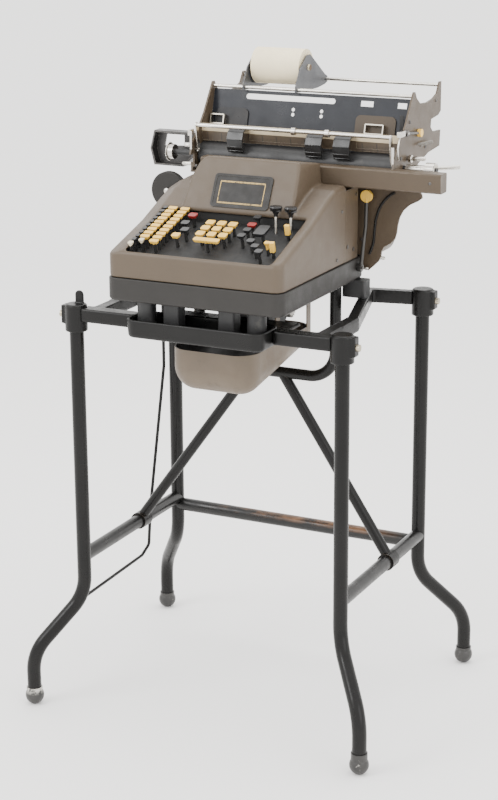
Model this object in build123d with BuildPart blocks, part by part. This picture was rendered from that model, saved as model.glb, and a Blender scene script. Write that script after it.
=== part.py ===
from build123d import *
from math import atan2, cos, degrees, hypot, pi, radians, sin, tan
import os

os.makedirs("parts", exist_ok=True)

# Mechanical ten-key adding machine with a wide carriage, on its own tubular stand.
# Millimetres. Origin on the floor below the stand's centre, +Z up, front towards -Y.

# ---------------------------------------------------------------- driving dimensions
# stand
LEG_X = 233.6
LEG_Y = 165.8
LEG_TOP = 680.0
TUBE_R = 11.7
TUBE_WALL = 1.8
FOOT_OUT_X = 63.4
FOOT_OUT_Y = 68.4
KNEE_Z = 184.0
ANKLE_Z = 91.0
LEG_BEND_R = 75.0
FOOT_R = 15.7
SIDE_STRETCHER_Z = 252.2
BACK_STRETCHER_Z = 238.6
STRETCHER_R = 11.4
BRACE_R = 9.0
BRACE_FOOT_Y = 32.0
BRACE_TOP_X = 30.0
HANGER_X = 125.0
HANGER_Y = 55.0
HANGER_Z = 545.0
HANGER_R = 9.5
HANGER_BEND_R = 46.0
SIDE_ROD_R = 2.8
FRAME_TOP = 680.0
FRAME_DEPTH = 22.0
ARM_WIDTH = 24.0
TRAY_X = 118.0
TRAY_FRONT = -212.0
TRAY_BACK = -146.0

# machine body
BODY_X = 150.0
BODY_FRONT = -208.0
BODY_BACK = 110.0
BASE_BOTTOM = 709.0
SEAM_Z = 746.0
CORNER_R = 15.0
SHELL = 3.0
HUMP_BACK_TOP = 904.0

# keyboard
KEY_SLOPE = 17.0
DECK_SLOPE = 19.7
DECK_Y = -145.0
DECK_Z = 812.0
DECK_DEPTH = 17.0
KEY_RISE = 6.0
KEY_PITCH = 19.5
KEY_ROW = 17.5
BANK_ROW = 11.5

# gear train
MODULE = 1.5
PINION_TEETH = 16
DRIVE_TEETH = 96
TAKE_OFF_TEETH = 48
WHEEL_TEETH = 24
SHAFT_Y = 20.0
MOTOR_Z = 664.0
SHAFT_R = 5.0
MOTOR_R = 36.0

# carriage
RAIL_LEFT = -112.0
RAIL_RIGHT = 308.0
RAIL_FRONT = 40.0
RAIL_BACK = 66.0
RAIL_BOTTOM = 868.0
RAIL_TOP = 899.0
PLATE_LEFT = -140.0
PLATE_RIGHT = 220.0
PLATE_T = 3.0
PLATEN_Y = 97.0
PLATEN_Z = 894.0
PLATEN_R = 21.5
PLATEN_SHAFT_R = 5.0
BAIL_Y = 65.0
BAIL_Z = 947.0
BAIL_R = 3.2
ROLL_X = -32.0
ROLL_WIDTH = 88.0
ROLL_Y = 184.0
ROLL_Z = 1035.0
ROLL_R = 30.0


# ---------------------------------------------------------------- shared helpers
def side_plane(x):
    """Plane of a (Y, Z) profile standing at x and facing +X."""
    return Plane.YZ.offset(x)


def front_plane(y):
    """Plane of an (X, Z) profile standing at y and facing -Y."""
    return Plane.XZ.offset(-y)


def floor_plane(z):
    """Plane of an (X, Y) profile lying at z and facing up."""
    return Plane.XY.offset(z)


def aimed_plane(start, end):
    """Plane at start whose normal points to end."""
    return Plane(origin=start, z_dir=Vector(*end) - Vector(*start))


def span(start, end):
    """Distance from start to end."""
    return (Vector(*end) - Vector(*start)).length


def rod(start, end, radius, bore=0.0):
    """Round bar or tube from start to end."""
    with BuildPart() as bar:
        with BuildSketch(aimed_plane(start, end)):
            Circle(radius)
            if bore:
                Circle(bore, mode=Mode.SUBTRACT)
        extrude(amount=span(start, end))
    return bar.part


def bent_tube(points, bend, radius, bore=0.0):
    """Round bar or tube along points, with every corner rounded to bend."""
    with BuildPart() as bar:
        with BuildLine() as route:
            FilletPolyline(*points, radius=bend)
        with BuildSketch(Plane(origin=route.line @ 0, z_dir=route.line % 0)):
            Circle(radius)
            if bore:
                Circle(bore, mode=Mode.SUBTRACT)
        sweep(path=route.line)
    return bar.part


def block(x, y, z, rounding=0.0):
    """Box between the given (low, high) pairs, with rounded upright edges."""
    with BuildPart() as body:
        with BuildSketch(floor_plane(z[0])):
            with Locations(((x[0] + x[1]) / 2, (y[0] + y[1]) / 2)):
                if rounding:
                    RectangleRounded(x[1] - x[0], y[1] - y[0], rounding)
                else:
                    Rectangle(x[1] - x[0], y[1] - y[0])
        extrude(amount=z[1] - z[0])
    return body.part


def gear_outline(teeth, turn):
    """Gear profile of the shared module: slim trapezoid teeth on a root circle."""
    pitch_r = MODULE * teeth / 2
    root_r = pitch_r - 1.35 * MODULE
    tip_r = pitch_r + 0.9 * MODULE
    Circle(root_r)
    with PolarLocations(0, teeth, start_angle=turn):
        Polygon(
            (root_r - 0.5, -0.27 * pi * MODULE),
            (tip_r, -0.10 * pi * MODULE),
            (tip_r, 0.10 * pi * MODULE),
            (root_r - 0.5, 0.27 * pi * MODULE),
            align=None,
        )


def save(part, name):
    """Label the piece and write it to its own STEP file."""
    part.label = name
    export_step(part, f"parts/{name}.step")


# ---------------------------------------------------------------- stand: legs and feet
def leg(side, end):
    """One leg: straight down from the clamp, then stepping out to its foot."""
    x = side * LEG_X
    y = end * LEG_Y
    foot_x = side * (LEG_X + FOOT_OUT_X)
    foot_y = end * (LEG_Y + FOOT_OUT_Y)
    points = [(x, y, LEG_TOP), (x, y, KNEE_Z), (foot_x, foot_y, ANKLE_Z), (foot_x, foot_y, 20.0)]
    return bent_tube(points, LEG_BEND_R, TUBE_R, TUBE_R - TUBE_WALL)


def foot_tip(side, end):
    """Ball foot with a ferrule round the end of the leg and a small flat underneath."""
    x = side * (LEG_X + FOOT_OUT_X)
    y = end * (LEG_Y + FOOT_OUT_Y)
    ferrule = 36.0 if (side > 0 and end < 0) else 30.0
    with BuildPart() as tip:
        with BuildSketch(Plane(origin=(x, y, 0), x_dir=(1, 0, 0), z_dir=(0, -1, 0))):
            with BuildLine():
                Line((0, 0), (4.0, 0))
                ThreePointArc((4.0, 0), (FOOT_R, FOOT_R - 0.5), (TUBE_R + 1.6, 24.0))
                Line((TUBE_R + 1.6, 24.0), (TUBE_R + 1.6, ferrule))
                Line((TUBE_R + 1.6, ferrule), (TUBE_R + 0.02, ferrule))
                Line((TUBE_R + 0.02, ferrule), (TUBE_R + 0.02, 19.0))
                Line((TUBE_R + 0.02, 19.0), (0, 19.0))
                Line((0, 19.0), (0, 0))
            make_face()
        revolve(axis=Axis((x, y, 0), (0, 0, 1)))
    return tip.part


with BuildPart() as legs_front:
    add(leg(-1, -1))
    add(leg(1, -1))
save(legs_front.part, "legs_front")

with BuildPart() as legs_back:
    add(leg(-1, 1))
    add(leg(1, 1))
save(legs_back.part, "legs_back")

with BuildPart() as foot_tips:
    for side in (-1, 1):
        for end in (-1, 1):
            add(foot_tip(side, end))
save(foot_tips.part, "foot_tips")

# ---------------------------------------------------------------- stand: stretchers and braces
WELD_GAP = 0.05
back_tube = rod((-LEG_X, LEG_Y, BACK_STRETCHER_Z), (LEG_X, LEG_Y, BACK_STRETCHER_Z), STRETCHER_R)
back_weld = rod((-LEG_X, LEG_Y, BACK_STRETCHER_Z), (LEG_X, LEG_Y, BACK_STRETCHER_Z), STRETCHER_R + WELD_GAP)
leg_columns = [
    rod((side * LEG_X, end * LEG_Y, 200.0), (side * LEG_X, end * LEG_Y, 300.0), TUBE_R)
    for side in (-1, 1)
    for end in (-1, 1)
]

with BuildPart() as stretchers:
    add(back_tube)
    for side in (-1, 1):
        x = side * LEG_X
        add(
            rod((x, -LEG_Y, SIDE_STRETCHER_Z), (x, LEG_Y, SIDE_STRETCHER_Z), STRETCHER_R)
            - back_weld
        )
    for column in leg_columns:
        add(column, mode=Mode.SUBTRACT)
save(stretchers.part, "stretchers")

hanger_path = [
    (-HANGER_X, HANGER_Y, BASE_BOTTOM - 2.0),
    (-HANGER_X, HANGER_Y, HANGER_Z),
    (HANGER_X, HANGER_Y, HANGER_Z),
    (HANGER_X, HANGER_Y, BASE_BOTTOM - 2.0),
]
hanger = bent_tube(hanger_path, HANGER_BEND_R, HANGER_R)
hanger_weld = bent_tube(hanger_path, HANGER_BEND_R, HANGER_R + WELD_GAP)
COLLAR_R = STRETCHER_R + 3.2
side_welds = [
    rod((side * LEG_X, -LEG_Y, SIDE_STRETCHER_Z), (side * LEG_X, LEG_Y, SIDE_STRETCHER_Z), COLLAR_R + WELD_GAP)
    for side in (-1, 1)
]

with BuildPart() as braces:
    for side in (-1, 1):
        top = (side * BRACE_TOP_X, HANGER_Y, HANGER_Z - 2.0)
        bottom = (side * LEG_X, BRACE_FOOT_Y, SIDE_STRETCHER_Z + 4.0)
        add(rod(top, bottom, BRACE_R) - hanger_weld - side_welds[0] - side_welds[1])
    add(hanger)
    for side in (-1, 1):
        # clamp collar of the brace on the side stretcher
        x = side * LEG_X
        add(
            rod((x, BRACE_FOOT_Y - 13.0, SIDE_STRETCHER_Z), (x, BRACE_FOOT_Y + 13.0, SIDE_STRETCHER_Z),
                COLLAR_R, STRETCHER_R + 0.02)
        )
save(braces.part, "braces")

with BuildPart() as side_rod:
    add(
        bent_tube(
            [
                (-LEG_X - 16.0, LEG_Y - 14.0, 668.0),
                (-LEG_X - 16.0, LEG_Y - 14.0, 500.0),
                (-LEG_X - 16.0, LEG_Y - 74.0, 250.0),
                (-LEG_X - 16.0, LEG_Y - 82.0, 184.0),
                (-LEG_X - 16.0, LEG_Y - 108.0, 172.0),
                (-LEG_X - 16.0, -LEG_Y + 12.0, 166.0),
            ],
            10.0,
            SIDE_ROD_R,
        )
    )
save(side_rod.part, "side_rod")

# ---------------------------------------------------------------- stand: top frame
with BuildPart() as front_tray:
    with BuildSketch(floor_plane(652.0)):
        with Locations((0, (TRAY_FRONT + TRAY_BACK) / 2)):
            RectangleRounded(2 * TRAY_X, TRAY_BACK - TRAY_FRONT, 16.0)
    extrude(amount=30.0, taper=-4.0)
    with BuildSketch(floor_plane(660.0)):
        with Locations((0, (TRAY_FRONT + TRAY_BACK) / 2)):
            RectangleRounded(2 * TRAY_X - 8.0, TRAY_BACK - TRAY_FRONT - 8.0, 12.0)
    extrude(amount=30.0, taper=-4.0, mode=Mode.SUBTRACT)
    fillet(front_tray.faces().sort_by(Axis.Z)[0].edges(), 5.0)
    # flat web behind the tray, under the machine
    add(block((-TRAY_X + 6.0, TRAY_X - 6.0), (TRAY_BACK - 2.0, -54.0), (658.0, 664.0)))
save(front_tray.part, "front_tray")


def bar_segment(start, end, width):
    """Flat bar outline with round ends, in the current sketch."""
    length = hypot(end[0] - start[0], end[1] - start[1])
    angle = degrees(atan2(end[1] - start[1], end[0] - start[0]))
    with Locations(Location(((start[0] + end[0]) / 2, (start[1] + end[1]) / 2, 0), (0, 0, angle))):
        SlotCenterToCenter(length, width)


CLAMP_R = TUBE_R + 6.5
clamp_voids = [
    rod((side * LEG_X, end * LEG_Y, 600.0), (side * LEG_X, end * LEG_Y, 720.0), CLAMP_R + 0.02)
    for side in (-1, 1)
    for end in (-1, 1)
]

with BuildPart() as top_frame:
    for side in (-1, 1):
        front = (side * LEG_X, -LEG_Y)
        elbow = (side * 196.0, -LEG_Y + 4.0)
        shoulder = (side * 200.0, -48.0)
        apex = (side * 143.0, 148.0)
        back = (side * LEG_X, LEG_Y)
        with BuildSketch(floor_plane(FRAME_TOP - FRAME_DEPTH)):
            bar_segment(front, (side * 130.0, -LEG_Y), ARM_WIDTH)
            bar_segment(elbow, shoulder, ARM_WIDTH - 4.0)
            bar_segment(shoulder, apex, ARM_WIDTH - 6.0)
            bar_segment(apex, back, ARM_WIDTH - 6.0)
        extrude(amount=FRAME_DEPTH)
    for void in clamp_voids:
        add(void, mode=Mode.SUBTRACT)
    add(front_tray.part, mode=Mode.SUBTRACT)
    add(block((-TRAY_X + 3, TRAY_X - 3), (TRAY_FRONT + 3, TRAY_BACK - 3), (640, 700)), mode=Mode.SUBTRACT)
save(top_frame.part, "top_frame")


def leg_clamp(side, end):
    """Cast socket on the top of a leg, closed above, with a collar below and two ears."""
    x = side * LEG_X
    y = end * LEG_Y
    with BuildPart() as clamp:
        with BuildSketch(floor_plane(640.0)):
            with Locations((x, y)):
                Circle(CLAMP_R)
        extrude(amount=LEG_TOP + 5.0 - 640.0)
        fillet(clamp.edges().sort_by(Axis.Z)[-1], 4.0)
        with BuildSketch(floor_plane(652.0)):
            with Locations((x + side * (CLAMP_R - 2.0), y)):
                RectangleRounded(15.0, 19.0, 3.0)
        extrude(amount=30.0)
        with BuildSketch(floor_plane(636.0)):
            with Locations((x, y)):
                Circle(TUBE_R + 0.02)
        extrude(amount=LEG_TOP + 0.02 - 636.0, mode=Mode.SUBTRACT)
    return clamp.part


with BuildPart() as leg_clamps:
    for side in (-1, 1):
        for end in (-1, 1):
            add(leg_clamp(side, end))
    with BuildSketch(front_plane(-LEG_Y + 6.0)):
        with Locations((-LEG_X + 5.0, LEG_TOP + 13.5)):
            SlotOverall(26.0, 15.0, rotation=90)
    extrude(amount=5.0)
save(leg_clamps.part, "leg_clamps")

# ---------------------------------------------------------------- machine feet
with BuildPart() as machine_feet:
    for side in (-1, 1):
        add(rod((side * 96.0, -178.0, 660.02), (side * 96.0, -178.0, BASE_BOTTOM), 15.0))
        rear_lug = (min(side * 126.0, side * 168.0), max(side * 126.0, side * 168.0))
        add(block(rear_lug, (76.0, 100.0), (FRAME_TOP, BASE_BOTTOM), 5.0))
        add(block((side * 48.0 - 14.0, side * 48.0 + 14.0), (-190.0, -164.0), (660.02, BASE_BOTTOM), 4.0))
save(machine_feet.part, "machine_feet")

# ---------------------------------------------------------------- base pan
gear_slot_x = (51.0, 67.0)
with BuildPart() as base_pan:
    with BuildSketch(floor_plane(BASE_BOTTOM)):
        with Locations((0, (BODY_FRONT + BODY_BACK) / 2)):
            RectangleRounded(2 * BODY_X + 4, BODY_BACK - BODY_FRONT + 4, CORNER_R + 2)
    extrude(amount=SEAM_Z - BASE_BOTTOM - 0.4)
    fillet(base_pan.faces().sort_by(Axis.Z)[0].edges(), 5.0)
    fillet(base_pan.faces().sort_by(Axis.Z)[-1].edges(), 2.0)
    with BuildSketch(floor_plane(BASE_BOTTOM + 4.0)):
        with Locations((0, (BODY_FRONT + BODY_BACK) / 2)):
            RectangleRounded(2 * BODY_X - 6, BODY_BACK - BODY_FRONT - 6, CORNER_R - 3)
    extrude(amount=SEAM_Z - BASE_BOTTOM, mode=Mode.SUBTRACT)
    # slots in the floor where the two large gears reach through
    with BuildSketch(floor_plane(BASE_BOTTOM - 1.0)):
        with Locations(((gear_slot_x[0] + gear_slot_x[1]) / 2, SHAFT_Y)):
            Rectangle(gear_slot_x[1] - gear_slot_x[0], 150.0)
        with Locations((-36.0, SHAFT_Y)):
            Rectangle(12.0, 60.0)
    extrude(amount=6.0, mode=Mode.SUBTRACT)
save(base_pan.part, "base_pan")

# ---------------------------------------------------------------- housing
HOUSING_BACK = RAIL_FRONT - 2.0
SHOULDER_LINE = [(BODY_FRONT + 5.0, 790.5), (-94.0, 829.5), (-30.0, 859.5), (0.0, 869.5), (HOUSING_BACK, 872.0)]
HUMP_FACE = [(-77.0, 835.6), (-36.0, 916.0)]
HUMP_SECTION = [
    (-88.0, 800.0), (-85.0, 850.0), (-80.0, 885.0), (-72.0, 905.0), (-60.0, 917.0),
    (100.0, 917.0), (105.0, 905.0), (107.0, 868.0), (109.0, 800.0),
]
# the left shoulder falls away: (y, fall at the side wall)
LEFT_FALL = [(BODY_FRONT - 2.0, 8.0), (-94.0, 15.0), (-30.0, 19.0), (0.0, 18.0), (HOUSING_BACK + 2.0, 14.0)]
LEFT_FALL_X = -121.0


def shoulder_height(y):
    """Height of the shoulder line at y."""
    for (y0, z0), (y1, z1) in zip(SHOULDER_LINE, SHOULDER_LINE[1:]):
        if y <= y1 or y1 == HOUSING_BACK:
            return z0 + (z1 - z0) * (y - y0) / (y1 - y0)


def left_wedge(inset):
    """Solid that takes the falling strip off the left shoulder."""
    wedge_x = -BODY_X - 2.0
    with BuildPart() as wedge:
        for y, fall in LEFT_FALL:
            top = shoulder_height(y) - 1.3 * inset
            edge = LEFT_FALL_X + 0.3 * inset
            low = top - fall * (edge - wedge_x) / (edge + BODY_X)
            with BuildSketch(Plane(origin=(0, y, 0), x_dir=(1, 0, 0), z_dir=(0, -1, 0))):
                Polygon((wedge_x, low), (edge, top), (edge, top + 15.0), (wedge_x, top + 15.0), align=None)
        loft(ruled=True)
    return wedge.part


def side_prism(outline, half_width, inset):
    """Closed (Y, Z) outline drawn in by inset and extruded evenly to both sides."""
    with BuildPart() as prism:
        with BuildSketch(Plane.YZ):
            Polygon(*outline, align=None)
            if inset:
                offset(amount=-inset, kind=Kind.INTERSECTION)
        extrude(amount=half_width, both=True)
    return prism.part


def housing_solid(inset):
    """Outer (inset 0) or inner solid of the housing: sloping shoulders and a raised middle."""
    floor_z = SEAM_Z if inset == 0 else SEAM_Z - 20.0
    with BuildPart() as body:
        add(
            side_prism(
                [(BODY_FRONT, floor_z), (BODY_FRONT, 785.0)] + SHOULDER_LINE + [(HOUSING_BACK, floor_z)],
                BODY_X - inset,
                inset,
            )
        )
        fillet(body.edges().filter_by(Axis.Z).group_by(Axis.Y)[0], CORNER_R - inset)
        if inset == 0:
            top_edges = body.faces().filter_by(Axis.X).edges()
            chamfer(
                [e for e in top_edges if abs(e.tangent_at(0.5).Z) < 0.6 and e.center().Z > 780.0 and e.center().X > 0],
                5.0,
            )
        add(left_wedge(inset), mode=Mode.SUBTRACT)
    with BuildPart() as hump:
        hump_outline = HUMP_FACE + [(HOUSING_BACK, HUMP_BACK_TOP), (HOUSING_BACK, 840.0), (-60.0, 822.0)]
        add(side_prism(hump_outline, BODY_X - 20.0, inset))
        with BuildSketch(front_plane(HOUSING_BACK + 5.0)):
            Polygon(*HUMP_SECTION, align=None)
            if inset:
                offset(amount=-inset, kind=Kind.INTERSECTION)
        extrude(amount=300.0, mode=Mode.INTERSECT)
    return body.part + hump.part


housing_outer = housing_solid(0.0)
housing_inner = housing_solid(SHELL)
deck_x = (-118.0, 131.5)
deck_y = (-203.0, -75.5)

with BuildPart() as housing:
    add(housing_outer)
    add(housing_inner, mode=Mode.SUBTRACT)
    with BuildSketch(floor_plane(770.0)):
        with Locations(((deck_x[0] + deck_x[1]) / 2, (deck_y[0] + deck_y[1]) / 2)):
            RectangleRounded(deck_x[1] - deck_x[0], deck_y[1] - deck_y[0], 4.0)
    extrude(amount=100.0, mode=Mode.SUBTRACT)
    # open back behind the raised middle, where the mechanism meets the carriage
    with BuildSketch(front_plane(HOUSING_BACK + 4.0)):
        with Locations((0, 801.0)):
            Rectangle(2 * BODY_X - 12.0, 122.0)
    extrude(amount=8.0, mode=Mode.SUBTRACT)
    # lip along the rear edge of the keyboard opening
    add(block(deck_x, (deck_y[1], deck_y[1] + 3.0), (831.9, 838.0)))
save(housing.part, "housing")

# ---------------------------------------------------------------- rear casing
REAR_FRONT = 112.0
REAR_BACK = 208.0
REAR_TOP = 862.0


DRUM_PIN_R = 4.0


def side_panel(side):
    """Sheet behind the housing's side wall, folded inwards at its rear edge."""
    top = REAR_TOP if side > 0 else REAR_TOP - 10.0
    with BuildPart() as panel:
        with BuildSketch(side_plane(side * (BODY_X - 4.0))):
            Polygon((38.4, SEAM_Z), (88.0, SEAM_Z), (88.0, top), (38.4, top), align=None)
        extrude(amount=side * 2.5)
        with BuildSketch(side_plane(side * (BODY_X - 4.0))):
            Polygon((86.0, SEAM_Z), (88.0, SEAM_Z), (88.0, top), (86.0, top), align=None)
        extrude(amount=-side * 14.0)
    return panel.part


DRUM_X = -190.0
DRUM_Y = 74.0
DRUM_Z = 832.0
with BuildPart() as side_panels:
    for side in (-1, 1):
        add(side_panel(side))
    # arm and pin that carry the carriage's spring drum
    add(block((DRUM_X - 8.0, -BODY_X + 3.0), (84.0, 88.0), (DRUM_Z - 8.0, DRUM_Z + 8.0)))
    add(rod((DRUM_X, 85.0, DRUM_Z), (DRUM_X, DRUM_Y - 8.0, DRUM_Z), DRUM_PIN_R))
save(side_panels.part, "side_panels")

with BuildPart() as back_cover:
    with BuildSketch(floor_plane(SEAM_Z)):
        with Locations((-22.0, (REAR_FRONT + REAR_BACK) / 2)):
            RectangleRounded(256.0, REAR_BACK - REAR_FRONT, 12.0)
    extrude(amount=REAR_TOP - SEAM_Z)
    fillet(back_cover.faces().sort_by(Axis.Z)[-1].edges().sort_by(Axis.Y)[-3:], 6.0)
    with BuildSketch(floor_plane(SEAM_Z - 1.0)):
        with Locations((-22.0, (REAR_FRONT + REAR_BACK) / 2 - 10.0)):
            RectangleRounded(250.0, REAR_BACK - REAR_FRONT + 14.0, 9.0)
    extrude(amount=REAR_TOP - SEAM_Z - 2.0, mode=Mode.SUBTRACT)
save(back_cover.part, "back_cover")

SUPPORT_EDGE = [
    (110.0, 860.0), (110.0, 748.0), (140.0, 732.0), (150.0, 722.0), (158.0, 719.0), (168.0, 728.0),
    (176.0, 736.0), (180.0, 745.0), (181.0, 753.0), (185.0, 760.0), (197.6, 768.0), (204.0, 775.0),
    (207.0, 786.0), (208.5, 798.4), (211.6, 811.3), (218.0, 823.1), (228.4, 832.6), (242.7, 840.0),
    (250.0, 845.6), (249.0, 851.6), (241.0, 860.0),
]
with BuildPart() as carriage_support:
    with BuildSketch(front_plane(REAR_FRONT)):
        with BuildLine():
            Line((110.0, 748.0), (140.0, 732.0))
            Spline((140.0, 732.0), (160.0, 742.0), (168.0, 765.0), (171.0, 797.0), (179.0, 823.0),
                   (196.0, 844.0), (222.0, 853.0))
            Line((222.0, 853.0), (222.0, 860.0))
            Line((222.0, 860.0), (110.0, 860.0))
            Line((110.0, 860.0), (110.0, 748.0))
        make_face()
    extrude(amount=-(REAR_BACK - REAR_FRONT))
    # front plate with its waved free edge
    with BuildSketch(front_plane(REAR_FRONT)):
        Polygon(*SUPPORT_EDGE, align=None)
    extrude(amount=-3.0)
    # hollow behind the front plate, open at the back
    with BuildSketch(front_plane(REAR_FRONT + 3.0)):
        with BuildLine():
            Line((109.0, 752.0), (141.0, 737.0))
            Spline((141.0, 737.0), (157.0, 746.0), (164.0, 768.0), (167.0, 799.0), (175.0, 826.0),
                   (190.0, 845.0), (204.0, 855.0))
            Line((204.0, 855.0), (109.0, 855.0))
            Line((109.0, 855.0), (109.0, 752.0))
        make_face()
    extrude(amount=-(REAR_BACK - REAR_FRONT), mode=Mode.SUBTRACT)
    # shallow groove that marks the support's separate side plate
    with BuildSketch(front_plane(REAR_FRONT + 8.0)):
        with Locations((178.0, 862.0)):
            Rectangle(60.0, 3.0)
    extrude(amount=-3.0, mode=Mode.SUBTRACT)
save(carriage_support.part, "carriage_support")

# ---------------------------------------------------------------- nameplate
NAME_Y = -61.0
name_rise = (HUMP_FACE[1][1] - HUMP_FACE[0][1]) / (HUMP_FACE[1][0] - HUMP_FACE[0][0])
NAME_SLOPE = degrees(atan2(name_rise, 1.0))
name_plane = Plane(
    origin=(13.8, NAME_Y, HUMP_FACE[0][1] + name_rise * (NAME_Y - HUMP_FACE[0][0]) + 0.03),
    x_dir=(1, 0, 0),
    z_dir=(0, -sin(radians(NAME_SLOPE)), cos(radians(NAME_SLOPE))),
)
with BuildPart() as nameplate:
    with BuildSketch(name_plane):
        RectangleRounded(101.5, 55.0, 6.0)
    extrude(amount=2.2)
    with BuildSketch(name_plane.offset(1.4)):
        RectangleRounded(94.0, 47.5, 4.0)
    extrude(amount=2.0, mode=Mode.SUBTRACT)
    with BuildSketch(name_plane.offset(1.0)):
        with Locations((0, -2.0)):
            RectangleRounded(79.0, 36.0, 1.5)
            RectangleRounded(76.6, 33.6, 1.0, mode=Mode.SUBTRACT)
    extrude(amount=0.9)
save(nameplate.part, "nameplate")

# ---------------------------------------------------------------- keyboard
key_normal = Vector(0, -sin(radians(KEY_SLOPE)), cos(radians(KEY_SLOPE)))


def key_top_height(y):
    """Height of the plane of the key tops at y."""
    return DECK_Z + KEY_RISE + tan(radians(KEY_SLOPE)) * (y - DECK_Y)


def key_plane(x, y, drop=0.0):
    """Plane parallel to the key tops, drop below the point (x, y) of that plane."""
    top = Vector(x, y, key_top_height(y))
    return Plane(origin=top - key_normal * drop, x_dir=(1, 0, 0), z_dir=key_normal)


STEM_LENGTH = 46.0
STEM_W = 2.6
STEM_D = 6.0
CAP_H = 5.0


def key(x, y, width, depth, rounding=3.0, cap=CAP_H):
    """A key: cap that widens upwards, on a flat stem."""
    flare = degrees(atan2(1.5, cap - 1.2))
    with BuildPart() as body:
        with BuildSketch(key_plane(x, y, cap)):
            RectangleRounded(width - 3.0, depth - 3.0, rounding - 1.5)
        extrude(amount=cap - 1.2, taper=-flare)
        with BuildSketch(key_plane(x, y, 1.2)):
            RectangleRounded(width, depth, rounding)
        extrude(amount=1.2)
        with BuildSketch(key_plane(x, y, cap + STEM_LENGTH)):
            Rectangle(STEM_W, STEM_D)
        extrude(amount=STEM_LENGTH + 0.5)
    return body.part


KEY_X = 5.2
KEY_Y0 = -115.5
digit_places = {}
for row in range(3):
    for column in range(3):
        digit_places[7 - 3 * row + column] = (
            KEY_X + (column - 1) * KEY_PITCH,
            KEY_Y0 - row * KEY_ROW,
        )
for digit in range(1, 10):
    x, y = digit_places[digit]
    save(key(x, y, 14.0, 13.0), f"key_{digit}")
ZERO_Y = KEY_Y0 - 3 * KEY_ROW
save(key(KEY_X, ZERO_Y, 44.0, 10.0, 2.6), "key_0")

red_left = (-54.5, -98.0)
red_right = (55.5, -111.0)
save(key(*red_left, 14.0, 12.0), "red_key_left")
save(key(*red_right, 14.0, 11.0), "red_key_right")

left_functions = [(-55.0, -123.0), (-45.0, -143.5), (-51.0, -162.0)]
right_functions = [
    (53.5, -87.0), (55.0, -127.0), (54.0, -145.5), (76.0, -158.0), (90.0, -172.0), (103.0, -186.0),
]
with BuildPart() as function_keys_left:
    for x, y in left_functions:
        add(key(x, y, 13.0, 12.0))
save(function_keys_left.part, "function_keys_left")
with BuildPart() as function_keys_right:
    for x, y in right_functions:
        add(key(x, y, 12.0, 11.0))
save(function_keys_right.part, "function_keys_right")

bar_place = (79.0, -125.0)
save(key(*bar_place, 19.0, 30.0, 4.0, 6.0), "motor_bar")

BANK_X = (-99.0, -77.0)
BANK_Y0 = -82.0
bank_yellow = [(BANK_X[0], BANK_Y0 - BANK_ROW * row) for row in range(9)]
bank_yellow += [(BANK_X[1], BANK_Y0 - BANK_ROW * row) for row in range(10)]
bank_black = [(-112.0, BANK_Y0 - BANK_ROW * row) for row in range(10)]
bank_white = [(BANK_X[0], BANK_Y0 - BANK_ROW * 9), (-112.0, BANK_Y0 - BANK_ROW * 10)]
with BuildPart() as bank_keys_yellow:
    for x, y in bank_yellow:
        add(key(x, y, 15.0, 8.4, 2.0))
save(bank_keys_yellow.part, "bank_keys_yellow")
with BuildPart() as bank_keys_black:
    for x, y in bank_black:
        add(key(x, y, 7.0, 7.6, 1.8))
save(bank_keys_black.part, "bank_keys_black")
with BuildPart() as bank_keys_white:
    for x, y in bank_white:
        add(key(x, y, 8.0, 8.0, 1.8))
save(bank_keys_white.part, "bank_keys_white")

# upright tabs and knobs that are set by hand
tab_places = [(116.0, -112.0), (116.0, -166.0)]
beige_place = (104.5, -160.0)
with BuildPart() as tab_levers:
    for x, y in tab_places:
        with BuildSketch(key_plane(x, y, 14.0)):
            RectangleRounded(8.0, 7.0, 1.8)
        extrude(amount=18.0)
        with BuildSketch(key_plane(x, y, 60.0)):
            Rectangle(STEM_W, STEM_D)
        extrude(amount=46.5)
    add(key(*beige_place, 8.0, 8.0, 2.0))
save(tab_levers.part, "tab_levers")

KNOB_DROP = 44.0
knob_places = [(85.5, -88.0, 852.0), (112.0, -90.0, 853.0)]
with BuildPart() as control_knobs:
    for x, y, z in knob_places:
        add(rod((x, y, z - KNOB_DROP), (x, y, z - 5.0), 2.2))
        with BuildSketch(floor_plane(z - 5.0)):
            with Locations((x, y)):
                SlotOverall(19.0, 11.0)
        extrude(amount=6.0)
    fillet(control_knobs.faces().filter_by(Axis.Z).group_by(Axis.Z)[-1].edges(), 1.5)
save(control_knobs.part, "control_knobs")

stem_places = list(digit_places.values()) + [(KEY_X, ZERO_Y), red_left, red_right, bar_place]
stem_places += left_functions + right_functions + bank_yellow + bank_black + bank_white + tab_places
stem_places.append(beige_place)


def well_profile(bottom, wall, top):
    """Side profile of the keyboard well between its floor and the casing above it."""
    low_y = BODY_FRONT + SHELL + 0.5 + wall
    high_y = -68.0 - wall
    slope = tan(radians(KEY_SLOPE))
    floor_z = DECK_Z - DECK_DEPTH + bottom
    return [
        (low_y, floor_z + slope * (low_y - DECK_Y)),
        (high_y, floor_z + slope * (high_y - DECK_Y)),
        (high_y, top + tan(radians(DECK_SLOPE)) * (high_y - DECK_Y)),
        (low_y, top + tan(radians(DECK_SLOPE)) * (low_y - DECK_Y)),
    ]


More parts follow.
